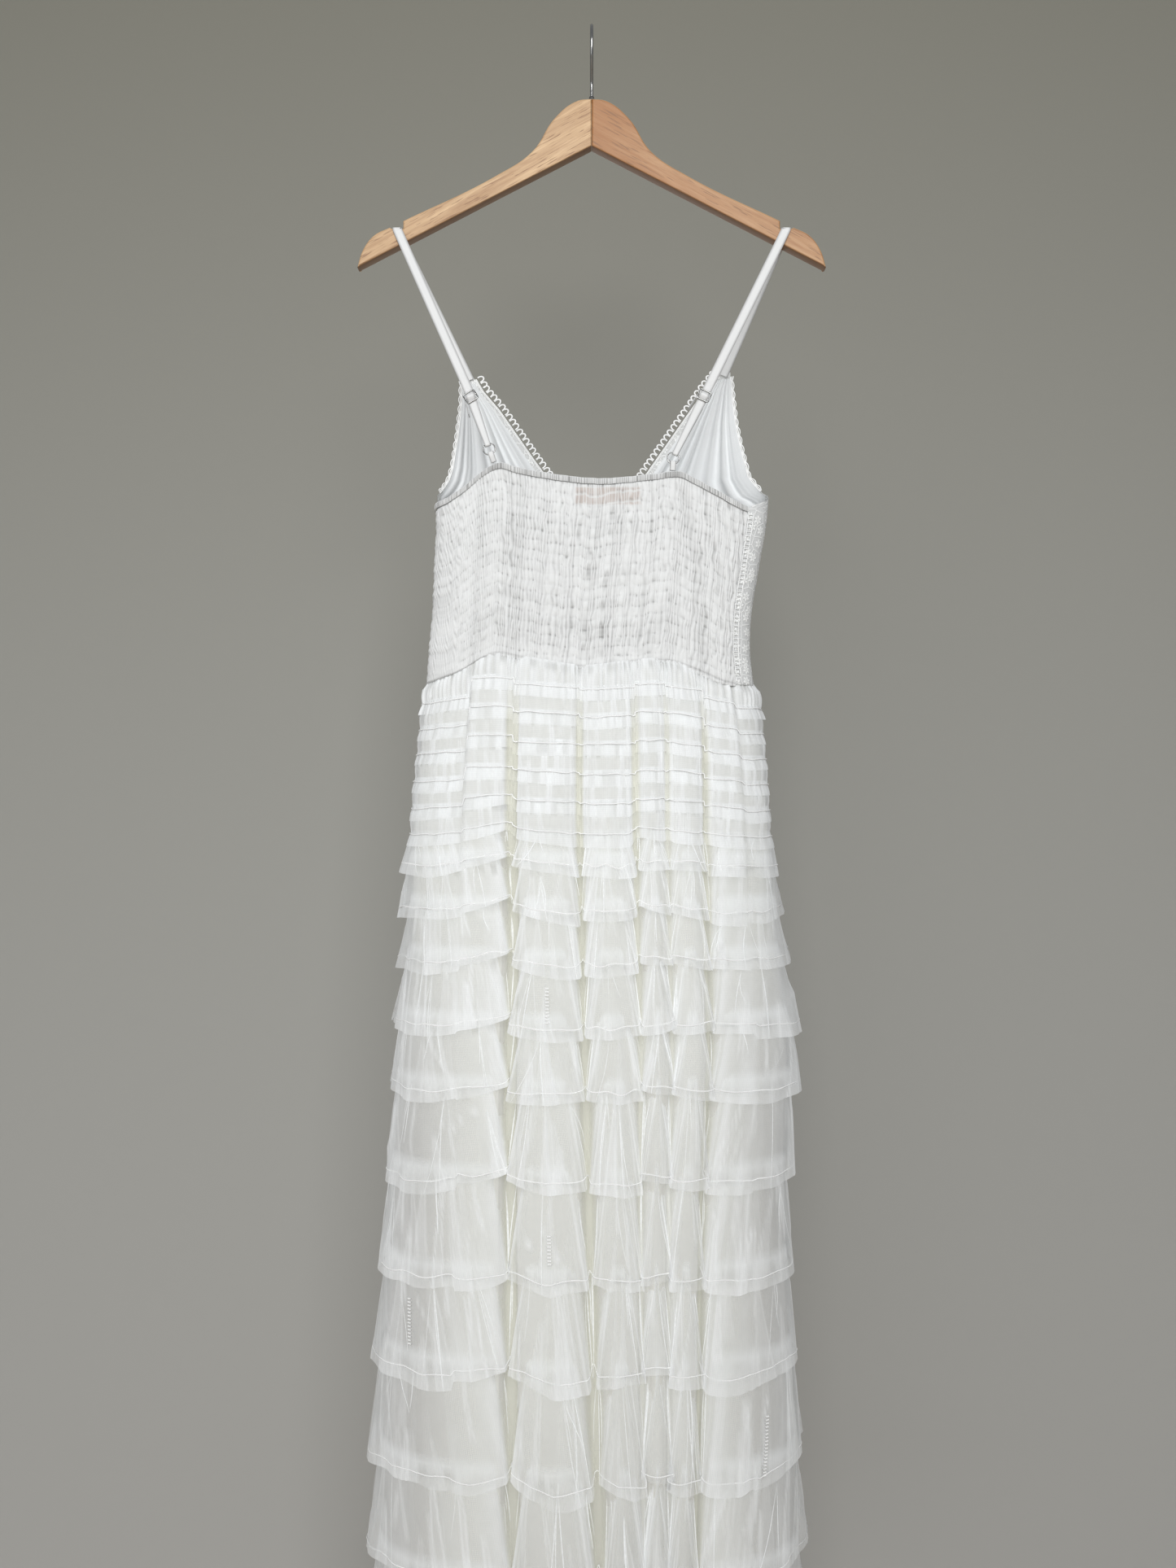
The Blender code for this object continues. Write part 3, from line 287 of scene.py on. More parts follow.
# Woven cloths: name, two colours, roughness, thread and relief, then its sheen and the tones of its places,
# most of them painted shade
CLOTHS = (
    (
        "underskirt lining",
        ((0.66, 0.66, 0.62), (0.72, 0.72, 0.68)),
        0.7,
        0.5,
        0.0001,
        # The underskirt's tones: cream and a little darker in its folds, as painted shade, and painted grey
        # shade towards its sides and foot
        {"warm": (0.67, 0.67, 0.605), "hollow": (0.46, 0.45, 0.43)},
    ),
    (
        "shirred cotton",
        ((0.86, 0.87, 0.865), (0.92, 0.93, 0.93)),
        0.8,
        0.35,
        0.0001,
        # Painted shade between the ribs and in the dents of the shirring; the brownish tone is the label
        # seen through the cloth
        {"sheen": 0.1, "warm": (0.64, 0.57, 0.53), "hollow": (0.36, 0.36, 0.355)},
    ),
    (
        "satin lining",
        ((0.84, 0.86, 0.87), (0.90, 0.92, 0.925)),
        0.38,
        0.3,
        0.00003,
        # Painted shade in the lining's pleats
        {"hollow": (0.42, 0.43, 0.43)},
    ),
    (
        "satin elastic",
        ((0.76, 0.765, 0.76), (0.82, 0.825, 0.825)),
        0.4,
        0.8,
        0.00012,
        # Painted shade along the elastic's edges
        {"hollow": (0.34, 0.34, 0.34)},
    ),
    ("label", ((0.70, 0.58, 0.50), (0.76, 0.64, 0.56)), 0.7, 0.4, 0.00005, {}),
    ("thread", ((0.95, 0.96, 0.95), (0.98, 0.98, 0.98)), 0.6, 0.6, 0.0001, {}),
)


def smooth(at, rows, column):
    """The named column of a table of sections, read on a smooth curve at each drop."""
    return flowing(rows, at, SECTION_COLUMNS.index(column))


def along(table, at, column=1):
    """A column of a short table, read at a value of the first."""
    rows = np.array(table, float)
    return np.interp(at, rows[:, 0], rows[:, column])


def ease(t):
    """A share held between 0 and 1, with soft ends."""
    t = np.clip(t, 0, 1)
    return t * t * (3 - 2 * t)


def flowing(table, at, column=1):
    """A column of a table of places along an edge, on a smooth curve through them."""
    rows = np.array(table, float)
    places, values = rows[:, 0], rows[:, column]
    slopes = np.gradient(values, places)
    at = np.clip(np.asarray(at, float), places[0], places[-1])
    i = np.clip(np.searchsorted(places, at) - 1, 0, len(places) - 2)
    span = places[i + 1] - places[i]
    t = (at - places[i]) / span
    start = (1 + 2 * t) * (1 - t) ** 2 * values[i] + t * (1 - t) ** 2 * span * slopes[i]
    return start + t * t * (3 - 2 * t) * values[i + 1] + t * t * (t - 1) * span * slopes[i + 1]


def ripple(around, waves, seed, spread=0.35):
    """An uneven wave of about so many waves a turn, from -1 to 1, that meets itself after a whole turn."""
    rng = np.random.default_rng(seed)
    total = np.zeros(np.shape(around))
    for _ in range(7):
        count = max(1, round(waves * (1 + spread * rng.uniform(-1, 1))))
        total = total + np.sin(TURN * (count * np.asarray(around) + rng.uniform()))
    return total / 4


def wander(at, seed, knots):
    """A soft random line over a run from 0 to 1, from about -1 to 1."""
    rng = np.random.default_rng(seed)
    values = rng.uniform(-1, 1, knots + 3)
    place = np.clip(np.asarray(at, float), 0, 1) * knots
    i = np.minimum(place.astype(int), knots - 1)
    t = ease(place - i)
    return values[i] * (1 - t) + values[i + 1] * t


def lengths(path):
    """How far along a path each of its points lies."""
    return np.concatenate([[0], np.cumsum(np.linalg.norm(np.diff(path, axis=0), axis=1))])


def read(at, places, values):
    """Rows of values, read at places that may lie between their own."""
    return np.stack([np.interp(at, places, column) for column in values.T], axis=-1)


def between(table, row, column, down, across, beside=None):
    """Values of a table between its rows and columns; beside is the next column if it isn't one more."""
    beside = column + 1 if beside is None else beside
    upper = table[row, column] * (1 - across) + table[row, beside] * across
    lower = table[row + 1, column] * (1 - across) + table[row + 1, beside] * across
    return upper * (1 - down) + lower * down


def at_level(stack, level):
    """Each column of a stack of rings, read at a level that may lie between two of them."""
    i = np.clip(level.astype(int), 0, len(stack) - 2)
    t = (level - i)[..., None] if stack.ndim == 3 else level - i
    column = np.arange(stack.shape[1])
    return stack[i, column] * (1 - t) + stack[i + 1, column] * t


def bump(apart, width):
    """A soft bump of height 1 about a line, by how far from it a point lies."""
    return np.exp(-((apart / width) ** 2))


# Meshes


def grid_faces(rows, columns, around=False, along_too=False, start=0):
    """The four-sided faces of a grid of points; around closes its rows and along_too its columns."""
    down = np.arange(rows if along_too else rows - 1)
    r, c = np.meshgrid(down, np.arange(columns if around else columns - 1), indexing="ij")
    below = (r + 1) % rows
    beside = (c + 1) % columns
    corners = [r * columns + c, below * columns + c, below * columns + beside, r * columns + beside]
    return start + np.stack(corners, axis=-1).reshape(-1, 4)


def spread_out(across, drops, layer=0.0):
    """The places of a grid on its cloth: how far across each point lies, its drop, and its layer."""
    across, layer = (np.broadcast_to(values, drops.shape) for values in (across, layer))
    return np.stack([across, drops, layer], axis=2)


def add_piece(name, points, finish, slot, stands_for=(), faces=None, facing=None, **values):
    """A mesh piece from points in millimetres, an open grid of them unless its faces are given."""
    points = np.asarray(points, float)
    if faces is None:
        faces = grid_faces(*points.shape[:2])
    points = points.reshape(-1, 3)
    mesh = bpy.data.meshes.new(name)
    mesh.vertices.add(len(points))
    mesh.vertices.foreach_set("co", (points * MM).astype(np.float32).ravel())
    mesh.loops.add(faces.size)
    mesh.loops.foreach_set("vertex_index", faces.astype(np.int32).ravel())
    mesh.polygons.add(len(faces))
    mesh.polygons.foreach_set("loop_start", np.arange(0, faces.size, faces.shape[1], dtype=np.int32))
    mesh.update(calc_edges=True)
    mesh.validate()
    mesh.shade_smooth()
    name_values(mesh, **values)
    if facing is not None:
        mesh.normals_split_custom_set_from_vertices(facing.reshape(-1, 3).astype(np.float32))
    return settle(bpy.data.objects.new(name, mesh), finish, stands_for)


def name_values(mesh, **values):
    """Numbers or vectors at a mesh's points, under the names that its finish reads."""
    for key, value in values.items():
        value = np.asarray(value, np.float32)
        vector = value.size == 3 * len(mesh.vertices)
        made = mesh.attributes.new(key, "FLOAT_VECTOR" if vector else "FLOAT", "POINT")
        made.data.foreach_set("vector" if vector else "value", value.ravel())


def settle(piece, finish, stands_for=()):
    """Puts a piece in the scene with its finish, on the one body."""
    bpy.context.scene.collection.objects.link(piece)
    piece.data.materials.append(finish)
    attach(piece, "root")
    if stands_for:
        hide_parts(*stands_for)
    return piece


def joined(parts):
    """One set of points and faces from several."""
    points = []
    faces = []
    start = 0
    for part_points, part_faces in parts:
        part_points = np.asarray(part_points, float).reshape(-1, 3)
        points.append(part_points)
        faces.append(part_faces + start)
        start += len(part_points)
    return np.concatenate(points), np.concatenate(faces)


def add_cords(name, parts, finish, slot, stands_for=(), turned=None):
    """One piece from the points and faces of several cords."""
    points, faces = joined(parts)
    facing = None if turned is None else np.concatenate(turned)
    add_piece(name, points, finish, slot, stands_for, faces, facing, cloth=points)


def unit(vectors):
    """The vectors at length 1."""
    return vectors / np.maximum(np.linalg.norm(vectors, axis=-1, keepdims=True), 1e-9)


def cord(path, side, radius, sides=6, closed=False):
    """Points and faces of a round cord along a path; side is a direction across it."""
    path = np.asarray(path, float)
    tangent = np.roll(path, -1, 0) - np.roll(path, 1, 0) if closed else np.gradient(path, axis=0)
    first = unit(np.cross(unit(tangent), side))
    second = unit(np.cross(first, tangent))
    angle = TURN * np.arange(sides) / sides
    round_it = first[:, None] * np.cos(angle)[:, None] + second[:, None] * np.sin(angle)[:, None]
    radius = np.broadcast_to(np.asarray(radius, float), len(path))
    points = path[:, None] + round_it * radius[:, None, None]
    return points, grid_faces(len(path), sides, around=True, along_too=closed)


def turned_flat(points, path):
    """Soft shading directions of a cord in a trim: each side faces mostly to the back or the front."""
    return unit((points - np.asarray(path)[:, None]) * (0.4, 2, 0.7)).reshape(-1, 3)


def soften(values, times=2):
    """A line of points with its corners cut, its ends kept."""
    values = np.asarray(values, float)
    for _ in range(times):
        near = values[:-1] * 0.75 + values[1:] * 0.25
        far = values[:-1] * 0.25 + values[1:] * 0.75
        inner = np.stack([near, far], axis=1).reshape(-1, values.shape[1])
        values = np.concatenate([values[:1], inner, values[-1:]])
    return values


# Finishes


def fill(tree, made, **inputs):
    """Links or sets a node's inputs, named by their sockets, or i0, i1 and so on by their places."""
    for key, value in inputs.items():
        socket = made.inputs[int(key[1:]) if key[1:].isdigit() else key.replace("_", " ")]
        if isinstance(value, bpy.types.NodeSocket):
            tree.links.new(value, socket)
        elif socket.type == "RGBA":
            socket.default_value = (*value, 1)
        else:
            socket.default_value = value
    return made


def node(tree, kind, settings=None, **inputs):
    """A shader node with its settings and inputs."""
    made = tree.nodes.new("ShaderNode" + kind)
    for key, value in (settings or {}).items():
        setattr(made, key, value)
    return fill(tree, made, **inputs)


def calc(tree, operation, *values, clamp=False):
    """The result of a sum on values or sockets."""
    inputs = {f"i{place}": value for place, value in enumerate(values)}
    return node(tree, "Math", {"operation": operation, "use_clamp": clamp}, **inputs).outputs[0]


def blend(tree, share, first, second):
    """A colour between two."""
    made = node(tree, "Mix", {"data_type": "RGBA", "clamp_factor": True}, i0=share, i6=first, i7=second)
    return made.outputs[2]


def value_at(tree, name, vector=False):
    """A named value of the mesh's points."""
    return node(tree, "Attribute", {"attribute_name": name}).outputs["Vector" if vector else "Fac"]


def stretched_noise(tree, place, stretch, **inputs):
    """Noise over places scaled by a factor each way."""
    scaled = node(tree, "Mapping", Vector=place, Scale=stretch)
    return node(tree, "TexNoise", Vector=scaled.outputs[0], Scale=1.0, **inputs).outputs[0]


def group(name, size, usual, *results):
    """An empty effect that reads places on the cloth and a size, with its two end nodes."""
    tree = bpy.data.node_groups.new(name, "ShaderNodeTree")
    tree.interface.new_socket("Place", in_out="INPUT", socket_type="NodeSocketVector")
    tree.interface.new_socket(size, in_out="INPUT", socket_type="NodeSocketFloat").default_value = usual
    for label in results:
        tree.interface.new_socket(label, in_out="OUTPUT", socket_type="NodeSocketFloat")
    return tree, tree.nodes.new("NodeGroupInput").outputs, tree.nodes.new("NodeGroupOutput")


def use(tree, effect, **inputs):
    """The results of an effect placed in a material."""
    return node(tree, "Group", {"node_tree": effect}, **inputs).outputs


def new_finish(name, roughness, metallic=0.0, sheen=0.0):
    """A material, its nodes and its shader."""
    made = bpy.data.materials.new(name)
    made.use_nodes = True
    tree = made.node_tree
    shader = tree.nodes["Principled BSDF"]
    return made, tree, fill(tree, shader, Roughness=roughness, Metallic=metallic, Sheen_Weight=sheen)


def bumped(tree, shader, height, distance):
    """Fine relief on a finish."""
    made = node(tree, "Bump", Height=height, Distance=distance, Strength=1.0)
    fill(tree, shader, Normal=made.outputs[0])


def bands_both_ways(tree, place, size, operation):
    """Bands across the cloth one way and the other, from 0 to 1."""
    split = node(tree, "SeparateXYZ", Vector=place)
    bands = []
    for axis in (0, 1):
        phase = calc(tree, "MULTIPLY", calc(tree, "DIVIDE", split.outputs[axis], size), math.pi)
        bands.append(calc(tree, "ABSOLUTE", calc(tree, operation, phase)))
    return bands


def weave_group():
    """Crossing threads of a plain weave, from cloth places in millimetres."""
    tree, given, out = group("plain weave", "Thread", 0.4, "Height")
    threads = bands_both_ways(tree, given["Place"], given["Thread"], "SINE")
    fill(tree, out, Height=calc(tree, "MULTIPLY", *threads))
    return tree


def net_group():
    """Fine net: threads both ways with open holes, and fuller and thinner runs along it."""
    tree, given, out = group("fine net", "Hole", 1.1, "Threads", "Runs")
    waves = bands_both_ways(tree, given["Place"], given["Hole"], "COSINE")
    threads = calc(tree, "MAXIMUM", *(calc(tree, "POWER", wave, 3.0) for wave in waves))
    runs = stretched_noise(tree, given["Place"], (0.11, 0.03, 0.35), Detail=3.0, Roughness=0.5)
    fill(tree, out, Threads=threads, Runs=runs)
    return tree


def tulle_finish(effect):
    """White net: its cover is thicker where it is seen edge-on, and it lets most light through."""
    made, tree, shader = new_finish("tulle", 0.8, sheen=0.15)
    net = use(tree, effect, Place=value_at(tree, "cloth", True), Hole=1.1)
    uneven = calc(tree, "MULTIPLY_ADD", net["Threads"], 0.2, 0.9)
    runs = calc(tree, "MULTIPLY_ADD", net["Runs"], 0.4, 0.8)
    cover = calc(tree, "MULTIPLY", value_at(tree, "cover"), uneven)
    cover = calc(tree, "MULTIPLY", cover, runs, clamp=True)
    edge_on = calc(tree, "POWER", node(tree, "LayerWeight").outputs["Facing"], 2.0)
    fuller = calc(tree, "MULTIPLY", edge_on, cover, clamp=True)
    open_share = calc(tree, "MULTIPLY_ADD", fuller, -1.6, 1.0, clamp=True)
    bare = calc(tree, "MULTIPLY", calc(tree, "SUBTRACT", 1.0, cover), open_share)
    shadow = calc(tree, "MULTIPLY_ADD", node(tree, "LightPath").outputs["Is Shadow Ray"], -0.75, 1.0)
    cover = calc(tree, "MULTIPLY", calc(tree, "SUBTRACT", 1.0, bare), shadow, clamp=True)
    colour = blend(tree, net["Runs"], (0.845, 0.86, 0.86), (0.895, 0.915, 0.925))
    # Painted shade: darker cream deep in folds, and grey between gathers and wherever the shade value is
    # set
    colour = blend(tree, value_at(tree, "deep"), colour, (0.72, 0.72, 0.64))
    colour = blend(tree, value_at(tree, "shade"), colour, (0.64, 0.65, 0.645))
    fill(tree, shader, Alpha=cover, Base_Color=colour)
    return made


def cloth_finish(name, effect, colours, roughness, thread, depth, sheen=0.0, **tones):
    """A woven cloth: soft colour, threads as fine relief, and tones blended in by named values of its
    points: painted shade, and a cream tone that is a label seen through on the shirred cotton and painted
    shade in the underskirt's folds.
    """
    made, tree, shader = new_finish(name, roughness, sheen=sheen)
    place = value_at(tree, "cloth", True)
    cloudy = node(tree, "TexNoise", Vector=place, Scale=0.05, Detail=3.0)
    colour = blend(tree, cloudy.outputs[0], *colours)
    for where, tone in tones.items():
        colour = blend(tree, value_at(tree, where), colour, tone)
    fill(tree, shader, Base_Color=colour)
    bumped(tree, shader, use(tree, effect, Place=place, Thread=thread)["Height"], depth)
    return made


def lace_group():
    """Scattered flowers, rings and their net ground."""
    tree, given, out = group("flower lace", "Flower", 8.0, "Full", "Net")
    flat = {"voronoi_dimensions": "2D"}
    edges = {**flat, "feature": "DISTANCE_TO_EDGE"}
    size = calc(tree, "DIVIDE", 1.0, given["Flower"])
    scaled = node(tree, "VectorMath", {"operation": "SCALE"}, i0=given["Place"], Scale=size).outputs[0]
    cells = node(tree, "TexVoronoi", flat, Vector=scaled, Scale=1.0, Randomness=0.6).outputs
    apart = node(tree, "VectorMath", {"operation": "SUBTRACT"}, i0=scaled, i1=cells["Position"])
    split = node(tree, "SeparateXYZ", Vector=apart.outputs[0])
    angle = calc(tree, "ARCTAN2", split.outputs[1], split.outputs[0])
    tilt = node(tree, "SeparateColor", Color=cells["Color"])
    turned = calc(tree, "MULTIPLY", calc(tree, "MULTIPLY_ADD", tilt.outputs[0], 6.0, angle), 3.0)
    petal = calc(tree, "ABSOLUTE", calc(tree, "COSINE", turned))
    reach = calc(tree, "MULTIPLY_ADD", petal, 0.2, 0.2)
    flower = calc(tree, "MULTIPLY", calc(tree, "SUBTRACT", reach, cells["Distance"]), 16.0, clamp=True)
    heart = calc(tree, "ABSOLUTE", calc(tree, "SUBTRACT", cells["Distance"], 0.09))
    eye = calc(tree, "SUBTRACT", 1.0, calc(tree, "MULTIPLY", heart, 40.0), clamp=True)
    border = node(tree, "TexVoronoi", edges, Vector=scaled, Scale=1.0, Randomness=0.6).outputs["Distance"]
    stem = calc(tree, "SUBTRACT", 1.0, calc(tree, "MULTIPLY", border, 14.0), clamp=True)
    full = calc(tree, "MAXIMUM", calc(tree, "SUBTRACT", flower, eye, clamp=True), stem)
    net = node(tree, "TexVoronoi", edges, Vector=given["Place"], Scale=0.8).outputs["Distance"]
    ground = calc(tree, "SUBTRACT", 1.0, calc(tree, "MULTIPLY", net, 6.0), clamp=True)
    fill(tree, out, Full=full, Net=ground)
    return tree


def lace_finish(effect):
    """Lace: its flowers stand on a thinner ground."""
    made, tree, shader = new_finish("lace", 0.75)
    lace = use(tree, effect, Place=value_at(tree, "cloth", True), Flower=12.0)
    solid = calc(tree, "MAXIMUM", lace["Full"], calc(tree, "MULTIPLY", lace["Net"], 0.7))
    cover = calc(tree, "MULTIPLY_ADD", solid, 0.32, 0.68, clamp=True)
    colour = blend(tree, lace["Full"], (0.82, 0.83, 0.83), (0.92, 0.93, 0.92))
    fill(tree, shader, Alpha=cover, Base_Color=colour)
    bumped(tree, shader, lace["Full"], 0.0003)
    return made


def nickel_finish():
    """Worn nickel plate, whose colour and surface vary a little."""
    made, tree, shader = new_finish("nickel plate", 0.18, 1.0)
    place = node(tree, "TexCoord").outputs["Object"]
    cloudy = node(tree, "TexNoise", Vector=place, Scale=300.0, Detail=4.0).outputs[0]
    colour = blend(tree, cloudy, (0.28, 0.28, 0.275), (0.42, 0.42, 0.41))
    fill(tree, shader, Base_Color=colour, Roughness=calc(tree, "MULTIPLY_ADD", cloudy, 0.12, 0.12))
    bumped(tree, shader, cloudy, 0.00005)
    return made


def beech_finish():
    """Pale beech: soft grain along each arm, with the short dark flecks of the wood, a painted highlight on
    faces turned up and painted shade on faces turned down.
    """
    made, tree, shader = new_finish("beech", 0.5)
    place = value_at(tree, "grain", True)
    broad = stretched_noise(tree, place, (0.012, 0.16, 0.12), Detail=6.0, Roughness=0.65, Distortion=0.8)
    streaks = calc(tree, "MULTIPLY_ADD", broad, 3.0, -1.0, clamp=True)
    flecks = stretched_noise(tree, place, (0.05, 0.75, 0.6), Detail=2.0)
    dark = calc(tree, "MULTIPLY", calc(tree, "SUBTRACT", flecks, 0.60), 18.0, clamp=True)
    lines = stretched_noise(tree, place, (0.02, 1.3, 0.9), Detail=3.0)
    fine_lines = calc(tree, "MULTIPLY_ADD", lines, 2.4, -0.95, clamp=True)
    height = node(tree, "SeparateXYZ", Vector=node(tree, "NewGeometry").outputs["Normal"]).outputs[2]
    # Painted highlight on faces that turn up and painted shade on faces that turn down
    painted_top_highlight = calc(tree, "MULTIPLY_ADD", height, 1.6, -0.4, clamp=True)
    under = calc(tree, "MULTIPLY_ADD", height, -1.6, -0.4, clamp=True)
    colour = blend(tree, streaks, (0.39, 0.215, 0.095), (0.69, 0.47, 0.26))
    for mask, share, tone in (
        (fine_lines, 0.5, (0.40, 0.23, 0.12)),
        (value_at(tree, "head"), 1.0, (0.34, 0.125, 0.025)),
        (dark, 0.75, (0.24, 0.115, 0.05)),
        # the painted highlight, then the painted shade
        (painted_top_highlight, 0.7, (0.72, 0.56, 0.38)),
        (under, 0.8, (0.20, 0.10, 0.05)),
    ):
        colour = blend(tree, calc(tree, "MULTIPLY", mask, share), colour, tone)
    rough = calc(tree, "MULTIPLY_ADD", flecks, 0.2, 0.38)
    fill(tree, shader, Base_Color=colour, Roughness=rough, Coat_Weight=0.15, Coat_Roughness=0.35)
    bumped(tree, shader, flecks, 0.00008)
    return made


# Bodice


def half_sizes(rows, drop, left_side, on_back):
    """The half width and half depth of a section, for points on either side, behind or in front."""
    width = np.where(left_side, smooth(drop, rows, "left"), smooth(drop, rows, "right"))
    return width, np.where(on_back, smooth(drop, rows, "back"), smooth(drop, rows, "front"))


def bodice_point(drop, angle):
    """A point of a bodice section, at degrees from the centre front towards the wearer's left."""
    a = np.radians(angle)
    on_back = np.cos(a) < 0
    power = 2 / np.where(on_back, BACK_ROUNDNESS, FRONT_ROUNDNESS)
    width, depth = half_sizes(BODICE_SECTIONS, drop, np.sin(a) > 0, on_back)
    x = np.sign(np.sin(a)) * width * np.abs(np.sin(a)) ** power
    y = -np.sign(np.cos(a)) * depth * np.abs(np.cos(a)) ** power
    return np.stack([x, y], axis=-1)


def bodice_arc(drop, start, end, count, trim=0.0):
    """Points evenly spaced round a bodice section between two angles, and their outward directions."""
    dense = bodice_point(drop, np.linspace(start, end, 400))
    length = lengths(dense)
    at = np.linspace(trim, length[-1] - trim, count)
    points = read(at, length, dense)
    tangent = unit(read(at + 0.5, length, dense) - read(at - 0.5, length, dense))
    normal = np.stack([tangent[:, 1], -tangent[:, 0]], axis=1)
    return points, normal * np.sign((normal * points).sum())


def front_angle(drop, x):
    """The angle at which a section's front has this x."""
    width = smooth(drop, BODICE_SECTIONS, "left" if x > 0 else "right")
    share = min(abs(x) / width, 1.0)
    return math.copysign(math.degrees(math.asin(share ** (FRONT_ROUNDNESS / 2))), x)


def waist_drop(x, y):
    """Where the waist seam lies."""
    return np.where(y > 0, flowing(BACK_WAIST, x), along(FRONT_WAIST, x))


def back_surface(shares_down, columns, top_offset):
    """The back panel at shares of the way down: points, outward directions and lengths across."""
    drops = np.arange(*BODICE_DROPS)
    stack = [bodice_arc(drop, LEFT_SEAM, RIGHT_SEAM, columns, SEAM_TRIM) for drop in drops]
    places, facing = (np.array(rows) for rows in zip(*stack))
    middle = places[int(np.abs(drops - MID_BACK).argmin())]
    top = flowing(BACK_TOP, middle[:, 0]) + top_offset
    waist = flowing(BACK_WAIST, middle[:, 0]) + WAIST_TUCK
    at = top + (waist - top) * np.asarray(shares_down)[:, None]
    level = (at - drops[0]) / (drops[1] - drops[0])
    points = np.concatenate([at_level(places, level), -at[:, :, None]], axis=2)
    normals = np.concatenate([unit(at_level(facing, level)), np.zeros_like(at)[:, :, None]], axis=2)
    return points, normals, lengths(middle)


def turned_in(points, normals):
    """A grid with its lower edge turned in towards the body, as a hem is at the waist seam."""
    rows = [points]
    for inward, lower in HEM_TURN:
        row = points[-1:] - normals[-1:] * inward
        row[:, :, 2] -= lower
        rows.append(row)
    return np.concatenate(rows)


def held_on(values):
    """Values of a grid, carried on over the rows that turned_in adds."""
    return np.concatenate([values, *[values[-1:]] * len(HEM_TURN)])


def elastic_rows(drops, x, run):
    """Which row of elastic each point of the back lies on, counted from the band down."""
    level = 0.35 * ease((drops - 560) / 80)
    rows = np.maximum(drops - flowing(BACK_TOP, x) - BAND_HEIGHT, 0) / ELASTIC_PITCH
    rows = rows * (1 - level) + (drops - 430) * level / ELASTIC_PITCH
    return np.maximum(rows + 0.16 * wander(run, 61, 34) + 0.1 * wander(run, 64, 90), 0)


def add_shirred_back(finish):
    """The smocked panel: ribs gathered by rows of elastic, pinched and dotted at each row, with painted
    shade between the ribs and in the dots.
    """
    points, normals, across = back_surface(np.linspace(0, 1, SHIRR_LINES), SHIRR_COLUMNS, BAND_HEIGHT - 2)
    drops = -points[:, :, 2]
    x = points[:, :, 0]
    run = np.broadcast_to(across, drops.shape) / across[-1]
    rows = elastic_rows(drops, x, run)
    level = np.clip(rows.astype(int), 0, MOST_ROWS - 2)
    within = rows - rows.astype(int)
    rng = np.random.default_rng(11)
    ribs = int(across[-1] / RIB_PITCH)
    cells = (MOST_ROWS, ribs + 3)

    leaning = -0.34 * ease(1.15 - across / 90) * (drops - 440)
    seen_across = 0.75 * np.abs(x - x[:, :1]) + 0.25 * across
    place = (seen_across + leaning) / RIB_PITCH + 0.7 * wander(run, 62, 75)
    wide = place / 1.6 + 3
    cell = np.clip(wide.astype(int), 0, ribs + 1)
    shift = between(rng.uniform(-0.5, 0.5, cells), level, cell, ease(within), ease(wide - cell))
    rib = np.abs(np.sin(math.pi * (place + 0.7 * shift)))
    strong = 0.7 + 0.4 * wander(run, 5, 45) + 0.25 * wander(np.clip(rows / 20, 0, 1), 6, 19)
    puff = rng.uniform(0.3, 1.0, cells)[level, np.clip((place / 2).astype(int), 0, ribs)]
    tall = np.clip(rows * 2, 0, 2 * MOST_ROWS)
    wide = np.clip(place * 1.3 + 3, 0, 2 * ribs + 6)
    lower, side = tall.astype(int), wide.astype(int)
    crinkles = rng.uniform(-1, 1, (2 * MOST_ROWS + 2, 2 * ribs + 8))
    crinkle = between(crinkles, lower, side, ease(tall - lower), ease(wide - side))
    near_row = bump((within - np.round(within)) * ELASTIC_PITCH, 0.9)
    nearest = np.clip(np.round(rows).astype(int), 0, MOST_ROWS - 2)
    picked = rng.uniform(0, 1, cells)[nearest, np.clip(np.round(place).astype(int), 0, ribs)]
    dots = near_row * (1 - rib) ** 1.3 * np.clip(picked * 2.2 - 0.8, 0, 1)
    crease = bump(x - along(BACK_CREASE, drops), 5.5) * ease((drops - 436) / 20)
    soft_crease = bump(x - 70, 9) * ease((600 - drops) / 60)

    loose = np.abs(np.sin(math.pi * within)) ** 0.7
    height = RIB_HEIGHT * rib * strong + PUFF_HEIGHT * loose * (0.35 + 0.35 * puff) + 0.15
    height = height + 0.35 * crinkle - 0.9 * dots - 1.3 * crease - 0.8 * soft_crease
    height = height * ease(0.1 + (drops - flowing(BACK_TOP, x) - BAND_HEIGHT + 1) / 4)
    # Painted shade between the ribs, in the dots, in the creases and along the waist seam; raised crinkles
    # are painted a little lighter, as a painted highlight
    hollow = 0.52 * (1 - rib) ** 1.2 * strong * (0.8 + 0.4 * puff) + 0.7 * dots + 0.06 * near_row
    hollow = hollow + 0.16 * np.clip(-crinkle, 0, 1) - 0.06 * np.clip(crinkle, 0, 1)
    hollow = hollow + 0.12 * crease + 0.05 * soft_crease
    hollow = hollow + 0.4 * bump(flowing(BACK_WAIST, x) - drops - 0.4, 0.9)
    right, left, top, bottom = LABEL_SHOWS
    label = ease((x - right) / 2) * ease((left - x) / 2)
    label = label * ease((drops - top) / 2) * ease((bottom - drops) / 2)
    # On the label, painted shade just above each row; the label's own colour shows through between the ribs
    above_row = bump((within - 0.78) * ELASTIC_PITCH, 0.8) * (picked > 0.35)
    warm = label * np.clip(0.3 + 1.1 * (1 - rib), 0, 1) * (1 - near_row)
    hollow = np.clip(hollow * (1 - 0.5 * label) + 0.5 * label * above_row * (1 - rib), 0, 1)
    piece = add_piece(
        "shirred_back",
        turned_in(points + normals * height[:, :, None], normals),
        finish,
        "smocked_cloth",
        ("back_bodice",),
        cloth=held_on(spread_out(across, drops)),
        hollow=held_on(hollow),
        warm=held_on(warm),
    )


